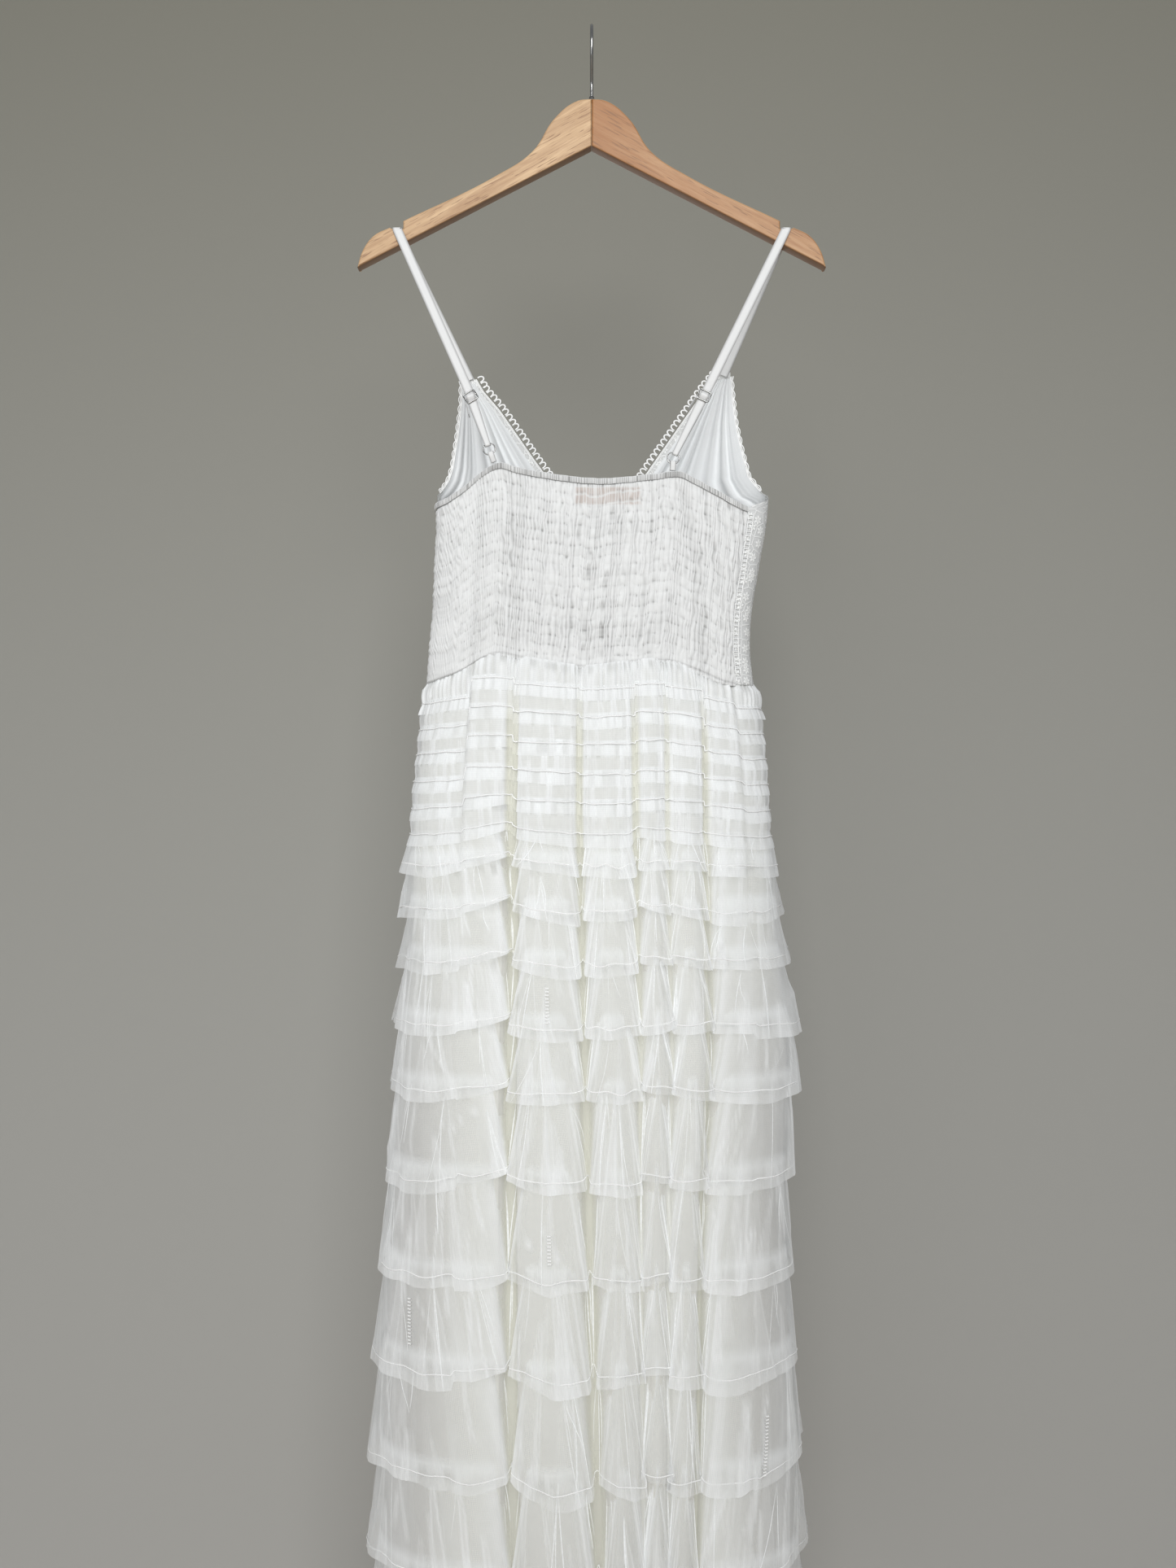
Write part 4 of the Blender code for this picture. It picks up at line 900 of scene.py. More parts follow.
def add_band(finish):
    """The narrow gathered band along the back's top edge, which it gives."""
    points, normals, across = back_surface((0, 1), BAND_COLUMNS, 0)
    top = points[0]
    run = across / across[-1]
    ticks = np.abs(np.sin(math.pi * (across / 2.1 + 0.8 * wander(run, 22, 120)))) ** 0.7
    deep = 0.5 + 0.5 * wander(run, 23, 90)
    near_tab = sum(bump(top[:, 0] - strap[-1], 9) for strap in STRAPS)
    rows = []
    hollow = []
    for turn in np.radians(np.linspace(-60, 240, 13)):
        out = 1.0 + 1.25 * math.cos(turn) + (ticks - 0.5) * 0.6 * (0.6 + 0.4 * deep)
        row = top + normals[0] * out[:, None]
        row[:, 2] -= BAND_HEIGHT / 2 * (1 - math.sin(turn)) + 0.25 * wander(run, 24, 60)
        rows.append(row)
        facing_out = 1 - ease((math.degrees(turn) - 45) / 30)
        # Painted shade in the gaps between the gathers and beside the tabs, on the rows that face out
        hollow.append((0.22 + 1.1 * (1 - ticks) * (0.5 + 0.5 * deep) + 0.35 * near_tab) * facing_out)
    points = np.array(rows)
    piece = add_piece(
        "gathered_band",
        points,
        finish,
        "smocked_cloth",
        ("back_band",),
        cloth=spread_out(across, -points[:, :, 2]),
        hollow=np.clip(hollow, 0, 1),
        warm=np.zeros(points.shape[:2]),
    )
    return top


def add_label(finish):
    """The blank label inside the back."""
    right, left, top, bottom = LABEL_SHOWS
    xs = np.linspace(left, right, 24)
    rows = []
    for drop in np.linspace(top, bottom, 6):
        arc, facing = bodice_arc(drop, LEFT_SEAM, RIGHT_SEAM, 400, SEAM_TRIM)
        place = read(-xs, -arc[:, 0], arc) - read(-xs, -arc[:, 0], facing) * LABEL_INSIDE
        rows.append(np.column_stack([place, np.full(len(xs), -drop)]))
    points = np.array(rows)
    cloth = spread_out(points[:, :, 0], points[:, :, 2])
    piece = add_piece("blank_label", points, finish, "label", ("neck_label",), cloth=cloth)


def front_edges(side, drop):
    """The angles of a front's outer edge and of its neckline at a drop."""
    neck = NECK_LEFT if side == "left" else NECK_RIGHT
    armhole = ARMHOLE_LEFT if side == "left" else ARMHOLE_RIGHT
    inner = front_angle(drop, along(neck, drop))
    free = front_angle(drop, along(armhole, drop))
    last = armhole[-1][0]
    seam = LEFT_SEAM if side == "left" else -LEFT_SEAM
    outer = free + (seam - free) * ease((drop - last) / (UNDERARM - last))
    if side == "right":
        outer += (RIGHT_SEAM - 360 - outer) * ease((drop - UNDERARM) / (RIGHT_SEAM_TOP - UNDERARM))
    return outer, inner


def front_surface(side, shares, columns):
    """A front's outside from under the strap to the waist, and its outward directions."""
    apex = (NECK_LEFT if side == "left" else NECK_RIGHT)[0][0]
    grid = []
    directions = []
    for share in shares:
        drop = apex + (WAIST - apex) * share
        outer, inner = front_edges(side, drop)
        points, normals = bodice_arc(drop, outer, inner, columns)
        seam = waist_drop(points[:, 0], points[:, 1])
        drops = drop + (seam - WAIST) * ease((share - SEAM_SHAPED_FROM) / (1 - SEAM_SHAPED_FROM))
        grid.append(np.column_stack([points, -drops]))
        directions.append(np.column_stack([normals, np.zeros(columns)]))
    grid = np.array(grid)
    directions = np.array(directions)
    off = np.zeros(grid.shape[:2])
    if side == "right":
        off = OVERLAP_STEP * ease((grid[:, :, 0] - OVERLAP_FROM) / OVERLAP_RISE) * (grid[:, :, 1] < 0)
    return grid + directions * off[:, :, None], directions


def cut_back(grid, normals, shares, side_inset):
    """A grid moved in from both edges, its outward directions, and how far it is from the neckline."""
    made = []
    for row, facing, share in zip(grid, normals, shares):
        length = lengths(row)
        neck = np.interp(share, *NECK_INSET)
        at = np.linspace(side_inset, max(length[-1] - neck, side_inset + 1), len(row))
        made.append((read(at, length, row), read(at, length, facing), length[-1] - at))
    return [np.array(values) for values in zip(*made)]


def add_front(side, lace, satin, braid):
    """A lace front, its pleated satin lining, the braid with picot loops and the scalloped armhole."""
    shares = np.linspace(0, 1, FRONT_LINES)
    grid, normals = front_surface(side, shares, FRONT_COLUMNS)
    drops = -grid[:, :, 2]
    across = np.array([lengths(row) for row in grid])
    piece = add_piece(
        "lace_front_" + side,
        turned_in(grid - normals * 0.2, normals),
        lace,
        "lace",
        ("front_" + side,),
        cloth=held_on(spread_out(across, drops)),
    )

    place, facing, from_neck = cut_back(grid, normals, shares, 0.3)
    fan = np.linspace(0, 1, FRONT_COLUMNS)[None, :] * np.ones((FRONT_LINES, 1))
    # Painted shade on the lining: in the valleys of its pleats and a little all over, stronger on the left
    # lining than on the right
    seed, dark = (31, 0.75) if side == "left" else (32, 0.35)
    soft = ripple(fan * 0.8, 8, seed, 0.45) + 0.25 * ripple(fan * 0.8 + drops / 8000, 19, 33, 0.4)
    reach = (0.5 + 1.2 * ease(shares / 0.3)) * (1 - 0.5 * ease((shares - 0.33) / 0.2))
    soft = soft * reach[:, None] * ease(fan * 10) * ease((1 - fan) * 14)
    place = place - facing * (LACE + GAP + 1.6 - soft)[:, :, None]
    lined = slice(3, -2)
    piece = add_piece(
        "satin_lining_" + side,
        place[lined],
        satin,
        "satin",
        ("lining_" + side,),
        cloth=spread_out(from_neck, drops)[lined],
        hollow=dark * np.clip(0.3 - 0.45 * soft, 0, 1)[lined],
    )
    add_braid(side, "neck", grid, normals, braid)
    add_braid(side, "armhole", grid, normals, braid)


def add_braid(side, edge, grid, normals, finish):
    """The braid along a front's neckline with its picot loops, or the scalloped edge of its armhole."""
    at, beside, first, last = (-1, -4, 0.01, 0.98) if edge == "neck" else (0, 3, 0.02, 0.385)
    middle = grid - normals * LACE / 2
    corners = middle[:, at]
    tangents = np.gradient(corners, axis=0)
    away = corners - middle[:, beside]
    away = unit(away - tangents * ((away * tangents).sum(1) / (tangents * tangents).sum(1))[:, None])
    length = lengths(corners)
    run = np.arange(length[int(first * len(grid))], length[int(last * len(grid))], 0.8)
    path, facing, out = (read(run, length, values) for values in (corners, normals[:, at], away))
    lines = []
    if edge == "neck":
        for place, radius in ((0.2, 0.5), (1.3, 0.55)):
            turn = TURN * run / 1.9 + place
            line = path + out * (place + 0.18 * np.sin(turn))[:, None]
            lines.append((line + facing * (0.35 * np.cos(turn))[:, None], facing, radius))
        turn = np.linspace(-0.62 * math.pi, 0.62 * math.pi, 15)[:, None]
        for number, centre in enumerate(np.arange(run[0] + 2, run[-1] - 2, PICOT_PITCH)):
            place, face, off = (read(centre, run, values) for values in (path, facing, out))
            reach = BRAID_WIDTH + PICOT_LENGTH * (0.42 + 0.55 * np.cos(turn))
            wide = 2.5 * np.sin(turn) + 0.5 * math.sin(number * 2.4)
            lines.append((place + off * reach + np.cross(face, off) * wide, face, PICOT_CORD))
    else:
        wave = SCALLOP_DEPTH * np.abs(np.sin(math.pi * run / SCALLOP_PITCH))
        for place, radius in ((-0.4, 0.6), (0.5, 0.5), (1.3, 0.45)):
            lines.append((path + out * (place + wave * max(place, 0))[:, None], facing, radius))
    parts = [cord(*line) for line in lines]
    turned = [turned_flat(part[0], line[0]) for part, line in zip(parts, lines)]
    add_cords(f"{edge}_braid_{side}", parts, finish, "lace", (f"{edge}_trim_{side}",), turned)


def add_ladder(finish):
    """The narrow ladder trim down the seam where the right front meets the back."""
    parts = []
    rails = []
    for offset in LADDER_TRIM["rails"]:
        line = []
        facing = []
        for drop in np.arange(*LADDER_TRIM["drops"]):
            arc, normals = bodice_arc(drop, RIGHT_SEAM, RIGHT_SEAM + 16, 60)
            turned = unit(read(offset, lengths(arc), normals))
            line.append((*(read(offset, lengths(arc), arc) + turned * 0.8), -drop))
            facing.append((*turned, 0))
        rails.append(np.array(line))
        parts.append(cord(line, facing, 0.45))
    outer, inner = rails
    for step in range(1, len(inner) - 1, 2):
        parts.append(cord(np.linspace(outer[step], inner[step], 4), np.array(facing[step]), 0.4, 5))
    add_cords("ladder_trim", parts, finish, "lace")


# Straps


def strap_frame(row):
    """A strap's places, and its directions: from slider to ring, across it and out of its face."""
    spec = dict(zip(STRAP_COLUMNS, row))
    for key in ("slider", "ring"):
        x, y, drop = spec[key]
        spec[key] = np.array([x, y, -drop])
    down = unit(spec["ring"] - spec["slider"])
    face = unit(np.array([0.0, 1.0, 0.0]) - down * down[1])
    return spec, down, np.cross(down, face), face


def turn_round(centre, radius, first, second, start, end, steps):
    """Points of a turn, and their directions away from its centre."""
    angles = np.radians(np.linspace(start, end, steps))[:, None]
    away = first * np.cos(angles) + second * np.sin(angles)
    return centre + away * radius, away


def add_ribbon(name, path, normals, widths, finish, stands_for):
    """A flat satin elastic with soft edges along a path: a strap, tail or tab."""
    path = soften(path)
    half = soften(np.asarray(widths, float).reshape(-1, 1)) / 2
    tangents = unit(np.gradient(path, axis=0))
    sides = unit(np.cross(tangents, soften(normals)))
    normals = unit(np.cross(sides, tangents))
    section = np.array([*RIBBON_SECTION, *((across, -up) for across, up in reversed(RIBBON_SECTION))])
    across = half * section[:, 0]
    points = path[:, None] + sides[:, None] * across[:, :, None]
    points = points + normals[:, None] * section[None, :, 1:] * ELASTIC
    count = len(section)
    faces = [grid_faces(len(path), count, around=True)]
    for row in (0, len(path) - 1):
        for k in range(count // 2 - 1):
            faces.append(np.array([[k, k + 1, count - 2 - k, count - 1 - k]]) + row * count)
    cloth = spread_out(across, np.broadcast_to(lengths(path)[:, None], across.shape))
    # Painted shade along both edges of the elastic
    hollow = np.broadcast_to(0.7 * ease((np.abs(section[:, 0]) - 0.8) / 0.16), across.shape)
    faces = np.concatenate(faces)
    add_piece(name, points, finish, "satin", (stands_for,), faces, cloth=cloth, hollow=hollow)


def add_strap(row, finish):
    """A strap: from the front over the hanger's notch, down through the slider, round the ring and back."""
    spec, down, _, face = strap_frame(row)
    notch_x, notch_drop = spec["notch"]
    slider, ring = spec["slider"], spec["ring"]
    back = np.array([0.0, 1.0, 0.0])
    up = np.array([0.0, 0.0, 1.0])
    corner = HANGER_EDGE + GAP + ELASTIC / 2
    shoulder = HANGER_THICKNESS / 2 - HANGER_EDGE
    top = -notch_drop - HANGER_EDGE
    front_foot = np.array([notch_x, -shoulder - corner, top])
    back_foot = np.array([notch_x, shoulder + corner, top])
    grid, facing = front_surface(spec["name"], (0, 0.02), 9)
    outward = facing[0].mean(axis=0)
    front_top = grid[0].mean(axis=0) - outward * (LACE + 3 * GAP + ELASTIC / 2)
    below = unit(front_top - front_foot) * STRAP_SEWN
    path = [front_top + below, *np.linspace(front_top, front_foot, 5)[:-1]]
    normals = [outward, outward] + [-back] * (len(path) - 2)
    for y, start, end in ((-shoulder, 180, 90), (shoulder, 90, 0)):
        points, away = turn_round(np.array([notch_x, y, top]), corner, back, up, start, end, 4)
        path.extend(points)
        normals.extend(away)
    outer_bar, middle_bar = WEAVE_STEPS
    weave = [
        slider + down * place + face * depth
        for place, depth in (
            (-SLIDER_HEIGHT, -WEAVE_DEPTH),
            (-outer_bar, -WEAVE_DEPTH),
            (-middle_bar, WEAVE_DEPTH),
            (middle_bar, WEAVE_DEPTH),
            (outer_bar, -WEAVE_DEPTH),
            (BELOW_SLIDER, -WEAVE_DEPTH),
        )
    ]
    path.extend(np.linspace(back_foot, weave[0], 6)[1:-1])
    path.extend(weave)
    normals.extend([face] * (len(path) - len(normals)))
    centre = ring - down * LOOP_CENTRE
    points, away = turn_round(centre, LOOP_TURN, face, down, 0, 180, 7)
    path.extend(points)
    normals.extend(away)
    path.append(slider + down * STRAP_END - face * (WEAVE_DEPTH + ELASTIC + 2 * GAP))
    normals.append(-face)
    near_ring = np.linalg.norm(np.array(path) - centre, axis=1)
    widths = STRAP_AT_RING + (STRAP_WIDTH - STRAP_AT_RING) * ease((near_ring - LOOP_TURN) / STRAP_WIDENS)
    name = spec["name"]
    add_ribbon("satin_strap_" + name, path, normals, widths, finish, "strap_" + name)


def add_tail(row, finish):
    """The cut end of a strap, hanging edge-on beside it below the slider."""
    spec, down, across, _ = strap_frame(row)
    start = spec["slider"] + down * (SLIDER_HEIGHT / 2 + 3 * SLIDER_WIRE) + across * TAIL_BESIDE
    path = np.linspace(start, start + down * TAIL_LENGTH + across, 6)
    name = spec["name"]
    add_ribbon("strap_end_" + name, path, [across] * 6, np.full(6, TAIL_WIDTH), finish, "tail_" + name)


def add_tab(row, edge, finish):
    """The fabric loop that holds the ring on the back band."""
    spec, _, _, face = strap_frame(row)
    ring = spec["ring"]
    half = TAB_WIDTH / 2
    middle, left, right = (read(half * side - spec["band"], -edge[:, 0], edge) for side in (0, -1, 1))
    lean = abs(ring[0] - middle[0]) / (ring[2] - middle[2])
    rise = max(left[2], middle[2], right[2]) - middle[2] + lean * half + GAP
    foot = middle + np.array([0, 0, rise])
    drop = foot - ring
    drop = unit(drop - face * (drop @ face))
    points, away = turn_round(ring + drop * LOOP_CENTRE, LOOP_TURN, face, -drop, 0, 180, 7)
    apart = face * (ELASTIC + GAP) / 2
    straight = drop * TAB_LEG
    path = [foot + apart, points[0] + straight, *points, points[-1] + straight, foot - apart]
    normals = [face, face, *away, -face, -face]
    name = spec["name"]
    add_ribbon("ring_tab_" + name, path, normals, np.full(len(path), TAB_WIDTH), finish, "tab_" + name)


def add_metal(row, finish):
    """The round wire ring and the wire slider of a strap."""
    spec, down, across, face = strap_frame(row)
    name = spec["name"]
    rounds, _ = turn_round(spec["ring"], RING_RADIUS, across, down, 0, 355, 72)
    points, faces = cord(rounds, face, RING_WIRE, 14, closed=True)
    add_piece("wire_ring_" + name, points, finish, "nickel_plate", ("ring_" + name,), faces)

    lean = math.radians(SLIDER_LEAN[name])
    across, down = (
        across * math.cos(lean) + down * math.sin(lean),
        down * math.cos(lean) - across * math.sin(lean),
    )
    beside = across * (SLIDER_WIDTH / 2 - SLIDER_CORNER)
    below = down * (SLIDER_HEIGHT / 2 - SLIDER_CORNER)
    loop = []
    for start, x, y in ((0, 1, 1), (90, -1, 1), (180, -1, -1), (270, 1, -1)):
        centre = spec["slider"] + beside * x + below * y
        loop.extend(turn_round(centre, SLIDER_CORNER, across, down, start, start + 90, 9)[0])
    bar = spec["slider"] + across * np.linspace(-SLIDER_WIDTH / 2, SLIDER_WIDTH / 2, 9)[:, None]
    parts = [cord(loop, face, SLIDER_WIRE, 14, closed=True), cord(bar, face, SLIDER_WIRE, 14)]
    add_cords("wire_slider_" + name, parts, finish, "nickel_plate", ("slider_" + name,))


# Skirt


def roll_lines(rolls):
    """The columns of cloth across a run of rolls.

    Each is x near the waist and near the hem, the relief at both, where in its roll it lies from -1 to 1,
    and whether its roll is a single span.
    """
    lines = []
    for index, row in enumerate(rolls):
        roll = dict(zip(ROLL_COLUMNS, row))
        for step in range(roll["spans"] + 1):
            t = step / roll["spans"]
            u = t * t if index == 0 else 1 - (1 - t) ** 2 if index == len(rolls) - 1 else t
            crest = ROLL_CREST * (1 - (2 * t - 1) ** 2)
            upper = roll["upper_from"] + (roll["upper_to"] - roll["upper_from"]) * u
            lower = roll["lower_from"] + (roll["lower_to"] - roll["lower_from"]) * u
            spread = t if index == 0 else t - 1 if index == len(rolls) - 1 else 2 * t - 1
            lines.append((upper, lower, crest, crest, spread, float(roll["spans"] == 1)))
        if index < len(rolls) - 1:
            after = dict(zip(ROLL_COLUMNS, rolls[index + 1]))
            upper = (roll["upper_to"] + after["upper_from"]) / 2
            lower = (roll["lower_to"] + after["lower_from"]) / 2
            lines.append((upper, lower, -roll["upper_fold"], -roll["lower_fold"], 0, 0))
    return lines


def close_lines():
    """The columns of cloth all round: the solids' own, and between them round rolls and open folds."""
    lines = np.array(roll_lines(BACK_ROLLS)[:-1] + roll_lines(FRONT_ROLLS)[:-1], float)
    u = np.arange(COLUMNS) / COLUMNS_PER_SPAN
    i = u.astype(int)
    t = (u - i)[:, None]
    p0, p1, p2, p3 = (lines[(i + k) % SKIRT_SPANS] for k in (-1, 0, 1, 2))
    made = 2 * p1 + (p2 - p0) * t + (2 * p0 - 5 * p1 + 4 * p2 - p3) * t**2
    made = (made + (3 * p1 - p0 - 3 * p2 + p3) * t**3) / 2
    made[:, 4] = (p1 * (1 - t) + p2 * t)[:, 4]
    into = (p2[:, 2] < 0) | (p2[:, 3] < 0)
    out_of = (p1[:, 2] < 0) | (p1[:, 3] < 0)
    wall = np.where(np.isin(i, WIDE_FOLD_SPANS), WIDE_FOLD_WALL, FOLD_WALL)
    for column in (2, 3):
        fall = p2[:, column] - p1[:, column]
        falls = p1[:, column] + fall * ease(t[:, 0] / wall)
        rises = p1[:, column] + fall * ease((t[:, 0] - 1 + wall) / wall)
        made[:, column] = np.where(into, falls, np.where(out_of, rises, np.maximum(made[:, column], 0)))
        made[:, column] += 2.2 * ROLL_CREST * (t * (1 - t))[:, 0] * (p1[:, 5] * p2[:, 5] > 0)
    return made


def skirt_ring(drop, lines):
    """The underskirt at a drop: its points, outward directions, and how deep each is in a fold."""
    left_side = lines[:, 0] > 0
    upper_width = np.where(left_side, BACK_ROLLS[0][1], -BACK_ROLLS[-1][2])
    lower_width = np.where(left_side, BACK_ROLLS[0][3], -BACK_ROLLS[-1][4])
    t = np.clip((drop - UPPER_ROLLS_DROP) / (LOWER_ROLLS_DROP - UPPER_ROLLS_DROP), 0, 1)
    share = lines[:, 0] / upper_width * (1 - t) + lines[:, 1] / lower_width * t
    relief = lines[:, 2] * (1 - t) + lines[:, 3] * t
    full = FOLDS_AT_WAIST + (1 - FOLDS_AT_WAIST) * ease((drop - WAIST) / (FOLDS_FULL_DROP - WAIST))
    width, depth = half_sizes(SKIRT_SECTIONS, drop, share > 0, ON_BACK)
    within = np.clip(np.abs(share), 0, 1)
    power = SKIRT_ROUNDNESS
    rise = (1 - within**power) ** (1 / power)
    sign = np.where(ON_BACK, 1, -1)
    points = np.stack([share * width, sign * depth * rise], axis=1)
    across = np.sign(share) * within ** (power - 1) / width
    normals = unit(np.stack([across, sign * rise ** (power - 1) / depth], axis=1))
    deep = np.clip((-relief - 3) / 10, 0, 1) * ease((drop - WAIST - 10) / 60)
    return points + normals * (relief * full)[:, None], normals, deep


class Form:
    """The underskirt's smooth form: its rings at close drops, read between them."""

    def __init__(self):
        self.drops = np.arange(*FORM_DROPS)
        lines = close_lines()
        rings = [skirt_ring(drop, lines) for drop in self.drops]
        self.places, self.facing, self.deep = (np.array(values) for values in zip(*rings))
        self.spread = np.clip(lines[:, 4], -1, 1)
        waist = self.places[0]
        self.arch = waist_drop(waist[:, 0], waist[:, 1]) + WAIST_PARTING - WAIST
        on_front = len(BACK_PANELS) + 1 + np.digitize(lines[:, 0], FRONT_PANELS)
        self.panel = np.where(ON_BACK, np.digitize(lines[:, 0], BACK_PANELS), on_front)
        numbers = range(self.panel.max() + 1)
        centres = np.array([waist[self.panel == number, 0].mean() for number in numbers])
        level = 0.35 * waist[:, 0] + 0.65 * centres[self.panel]
        self.stepped = waist_drop(level, waist[:, 1]) + WAIST_PARTING - WAIST
        turn = np.flatnonzero(np.diff(self.panel))
        apart = np.abs(np.arange(COLUMNS)[:, None] - turn - 0.5).min(axis=1)
        self.border = bump(apart, 1.6) * (np.abs(self.spread) > 0.15)
        self.middle = self.places[MIDDLE_RING]
        run = lengths(np.concatenate([self.middle, self.middle[:1]]))
        self.length, self.whole = run[:-1], float(run[-1])

    def at(self, drops):
        """Points, outward directions and depths in folds at a grid of drops, rows by columns."""
        level = (drops - self.drops[0]) / (self.drops[1] - self.drops[0])
        return at_level(self.places, level), unit(at_level(self.facing, level)), at_level(self.deep, level)

    def arched(self, drops):
        """The height of each point, with the arch of the waist as it dies out."""
        arch = self.arch + (self.stepped - self.arch) * ease((drops - WAIST - 4) / 18)
        return drops + arch * (1 - ease((drops - WAIST) / (WAIST_ARCH_ENDS - WAIST)))


def flounces():
    """The flounces from the top down: name, top, hem, header, flare, wave height, waves and rows."""
    made = []
    for index in range(RUFFLES):
        stitch = FIRST_STITCH + RUFFLE_PITCH * (index - 1)
        top = WAIST - WAIST_OVERLAP if index == 0 else stitch - RUFFLE_HEADER
        hem = stitch + RUFFLE_PITCH + RUFFLE_OVERLAP
        header = 0.5 if index == 0 else RUFFLE_HEADER
        made.append((f"ruffle_{index + 1:02}", top, hem, header, 3.4, 1.2, 8, 11))
    top = FIRST_STITCH + RUFFLE_PITCH * (RUFFLES - 1) - RUFFLE_HEADER
    for index, hem in enumerate(TIER_HEMS):
        header = RUFFLE_HEADER if index == 0 else TIER_HEADER
        rows = min(16, round(7 + (hem - top) / 13))
        made.append((f"tier_{index + 1:02}", top, hem, header, 9, 4.5, 12, rows))
        top = hem - TIER_OVERLAP
    return made


def hem_sag(form, hem):
    """How far a hem hangs below its plain line at each column."""
    x, y = form.middle.T
    lower = ease((hem - 900) / 350)
    sag = along(HEM_LINE, x) * (1 - lower) + along(HEM_LINE, x, 2) * lower
    sag = np.where(y > 0, sag, 5 * ripple(AROUND, 9, int(hem)))
    rng = np.random.default_rng(int(hem) + 9)
    step, tilt = rng.uniform(-1, 1, (2, form.panel.max() + 1))
    size = 1.2 + 2.2 * ease((hem - 790) / 60)
    corners = size * (step[form.panel] + tilt[form.panel] * form.spread)
    return sag * ease((hem - 700) / 130) + corners * ease((hem - 670) / 20)


def main_creases(x, y, drops, hem_above, hem):
    """The listed creases that lie on one tier: their relief and how much they fill the net."""
    relief = np.zeros(x.shape)
    filled = np.zeros(x.shape)
    for x1, drop1, x2, drop2, strength in MAIN_CREASES:
        if hem_above < (drop1 + drop2) / 2 <= hem:
            run = math.hypot(x2 - x1, drop2 - drop1)
            ahead = ((x - x1) * (x2 - x1) + (drops - drop1) * (drop2 - drop1)) / run
            apart = ((x - x1) * (drop2 - drop1) - (drops - drop1) * (x2 - x1)) / run
            apart = apart + 1.5 * np.sin(ahead / 9 + x1)
            strong = strength * ease(ahead / 5) * ease((run - ahead) / 8) * (y > 0)
            relief = relief + 2.4 * strong * np.exp(-np.abs(apart) / 3.0)
            filled = filled + strong * bump(apart, 1.1)
    return relief, filled


def pleats(rng, form, down, header, height, tier):
    """The folds of net that lie over one another on a flounce: their relief, their layers and their edges.

    Each starts narrow at the stitching or lower down and fans out towards the hem.
    """
    relief, layers, edges = np.zeros((3, *down.shape))
    for _ in range(int(form.whole / 9)):
        centre = rng.uniform(0, form.whole)
        slant = rng.normal(0, 0.07)
        first = header + (0 if rng.uniform() < 0.55 else rng.uniform(0.1, 0.6) * height)
        last = height + 40 if rng.uniform() < 0.7 else first + rng.uniform(0.3, 0.7) * height
        narrow = rng.uniform(0.4, 1.6)
        wide = narrow + rng.uniform(0.5, 7.5 if tier else 1.5)
        strength = rng.uniform(0.35, 1.0)
        sharp = rng.uniform(0, 1) ** 2
        apart = form.length - centre - slant * (down - first) - 1.2 * np.sin((down - first) / 23 + centre)
        apart = np.abs((apart + form.whole / 2) % form.whole - form.whole / 2)
        runs = ease((down - first) / 6) * ease((last - down) / 12)
        half = narrow + (wide - narrow) * np.clip((down - first) / height, 0, 1)
        inside = strength * ease((half - apart) / 1.2 + 0.5) * runs
        layers = layers + 0.9 * inside
        relief = relief + (0.9 if tier else 0.3) * inside
        edges = edges + (0.3 + 2.0 * sharp) * strength * bump(apart - half, 0.75) * runs
    return relief, layers, edges


def own_facing(places):
    """The level outward directions of a closed grid's own shape."""
    step = np.roll(places, -1, axis=1) - np.roll(places, 1, axis=1)
    return unit(np.stack([step[:, :, 1], -step[:, :, 0]], axis=2))


def soft_normals(local, facing, own, tilt):
    """Shading directions of a closed grid: a share of its own, the rest the form's, turned up a little."""
    mixed = unit(local * own + facing * (1 - own))
    return unit(np.concatenate([mixed, np.broadcast_to(tilt, mixed.shape[:2])[:, :, None]], axis=2))


def on_cloth(grid, column, row):
    """Places on a closed grid of cloth, at columns and rows that may lie between its own."""
    i = np.clip(row.astype(int), 0, len(grid) - 2)
    j = np.floor(column).astype(int)
    count = grid.shape[1]
    return between(grid, i, j % count, (row - i)[:, None], (column - j)[:, None], (j + 1) % count)


def lying_thread(line, out, radius, sides, softness, closed=False):
    """Points, faces and shading directions of a thin cord that lies on cloth: mostly the cloth's own."""
    points, faces = cord(line, out, radius, sides, closed)
    turned = unit(points - line[:, None] + 1.5 * softness * out[..., None, :])
    return points, faces, turned.reshape(-1, 3)


def sharp_creases(rng, points, outward, start, pitch):
    """Narrow strips of doubled net in sharp creases, several fanning from one gather of a tier."""
    strips = []
    rows, columns = points.shape[:2]
    t = np.linspace(0, 1, 10)
    for gather in np.arange(0, columns, CREASE_PITCH / pitch):
        source = gather + rng.uniform(0, 30) / pitch
        first = start + rng.uniform(0, 0.25) * (rng.uniform() < 0.5)
        for slant in rng.normal(0, 6.0, rng.integers(1, 4)):
            last = 1.0 if rng.uniform() < 0.6 else first + rng.uniform(0.3, 0.6)
            row = np.clip((first + (min(last, 1.0) - first) * t) * (rows - 1), 0, rows - 1.001)
            bend = rng.normal(0, 1.0) * np.sin(math.pi * t)
            column = source + (slant * t + bend) / pitch
            out = on_cloth(outward, column, row)
            line = on_cloth(points, column, row) + 0.45 * out
            side = unit(np.cross(np.gradient(line, axis=0), out))
            half = rng.uniform(0.3, 0.6) * (0.25 + 0.75 * np.sin(math.pi * np.clip(0.1 + t, 0, 0.75)))
            strip = np.stack([line + side * half[:, None], line - side * half[:, None]], axis=1)
            normals = np.repeat(unit(out + np.array([0, 0, 0.15])), 2, axis=0)
            cover = np.repeat(rng.uniform(0.45, 1.0) * np.sin(math.pi * (0.12 + 0.7 * t)), 2)
            strips.append((strip, grid_faces(len(t), 2), normals, cover))
    return strips


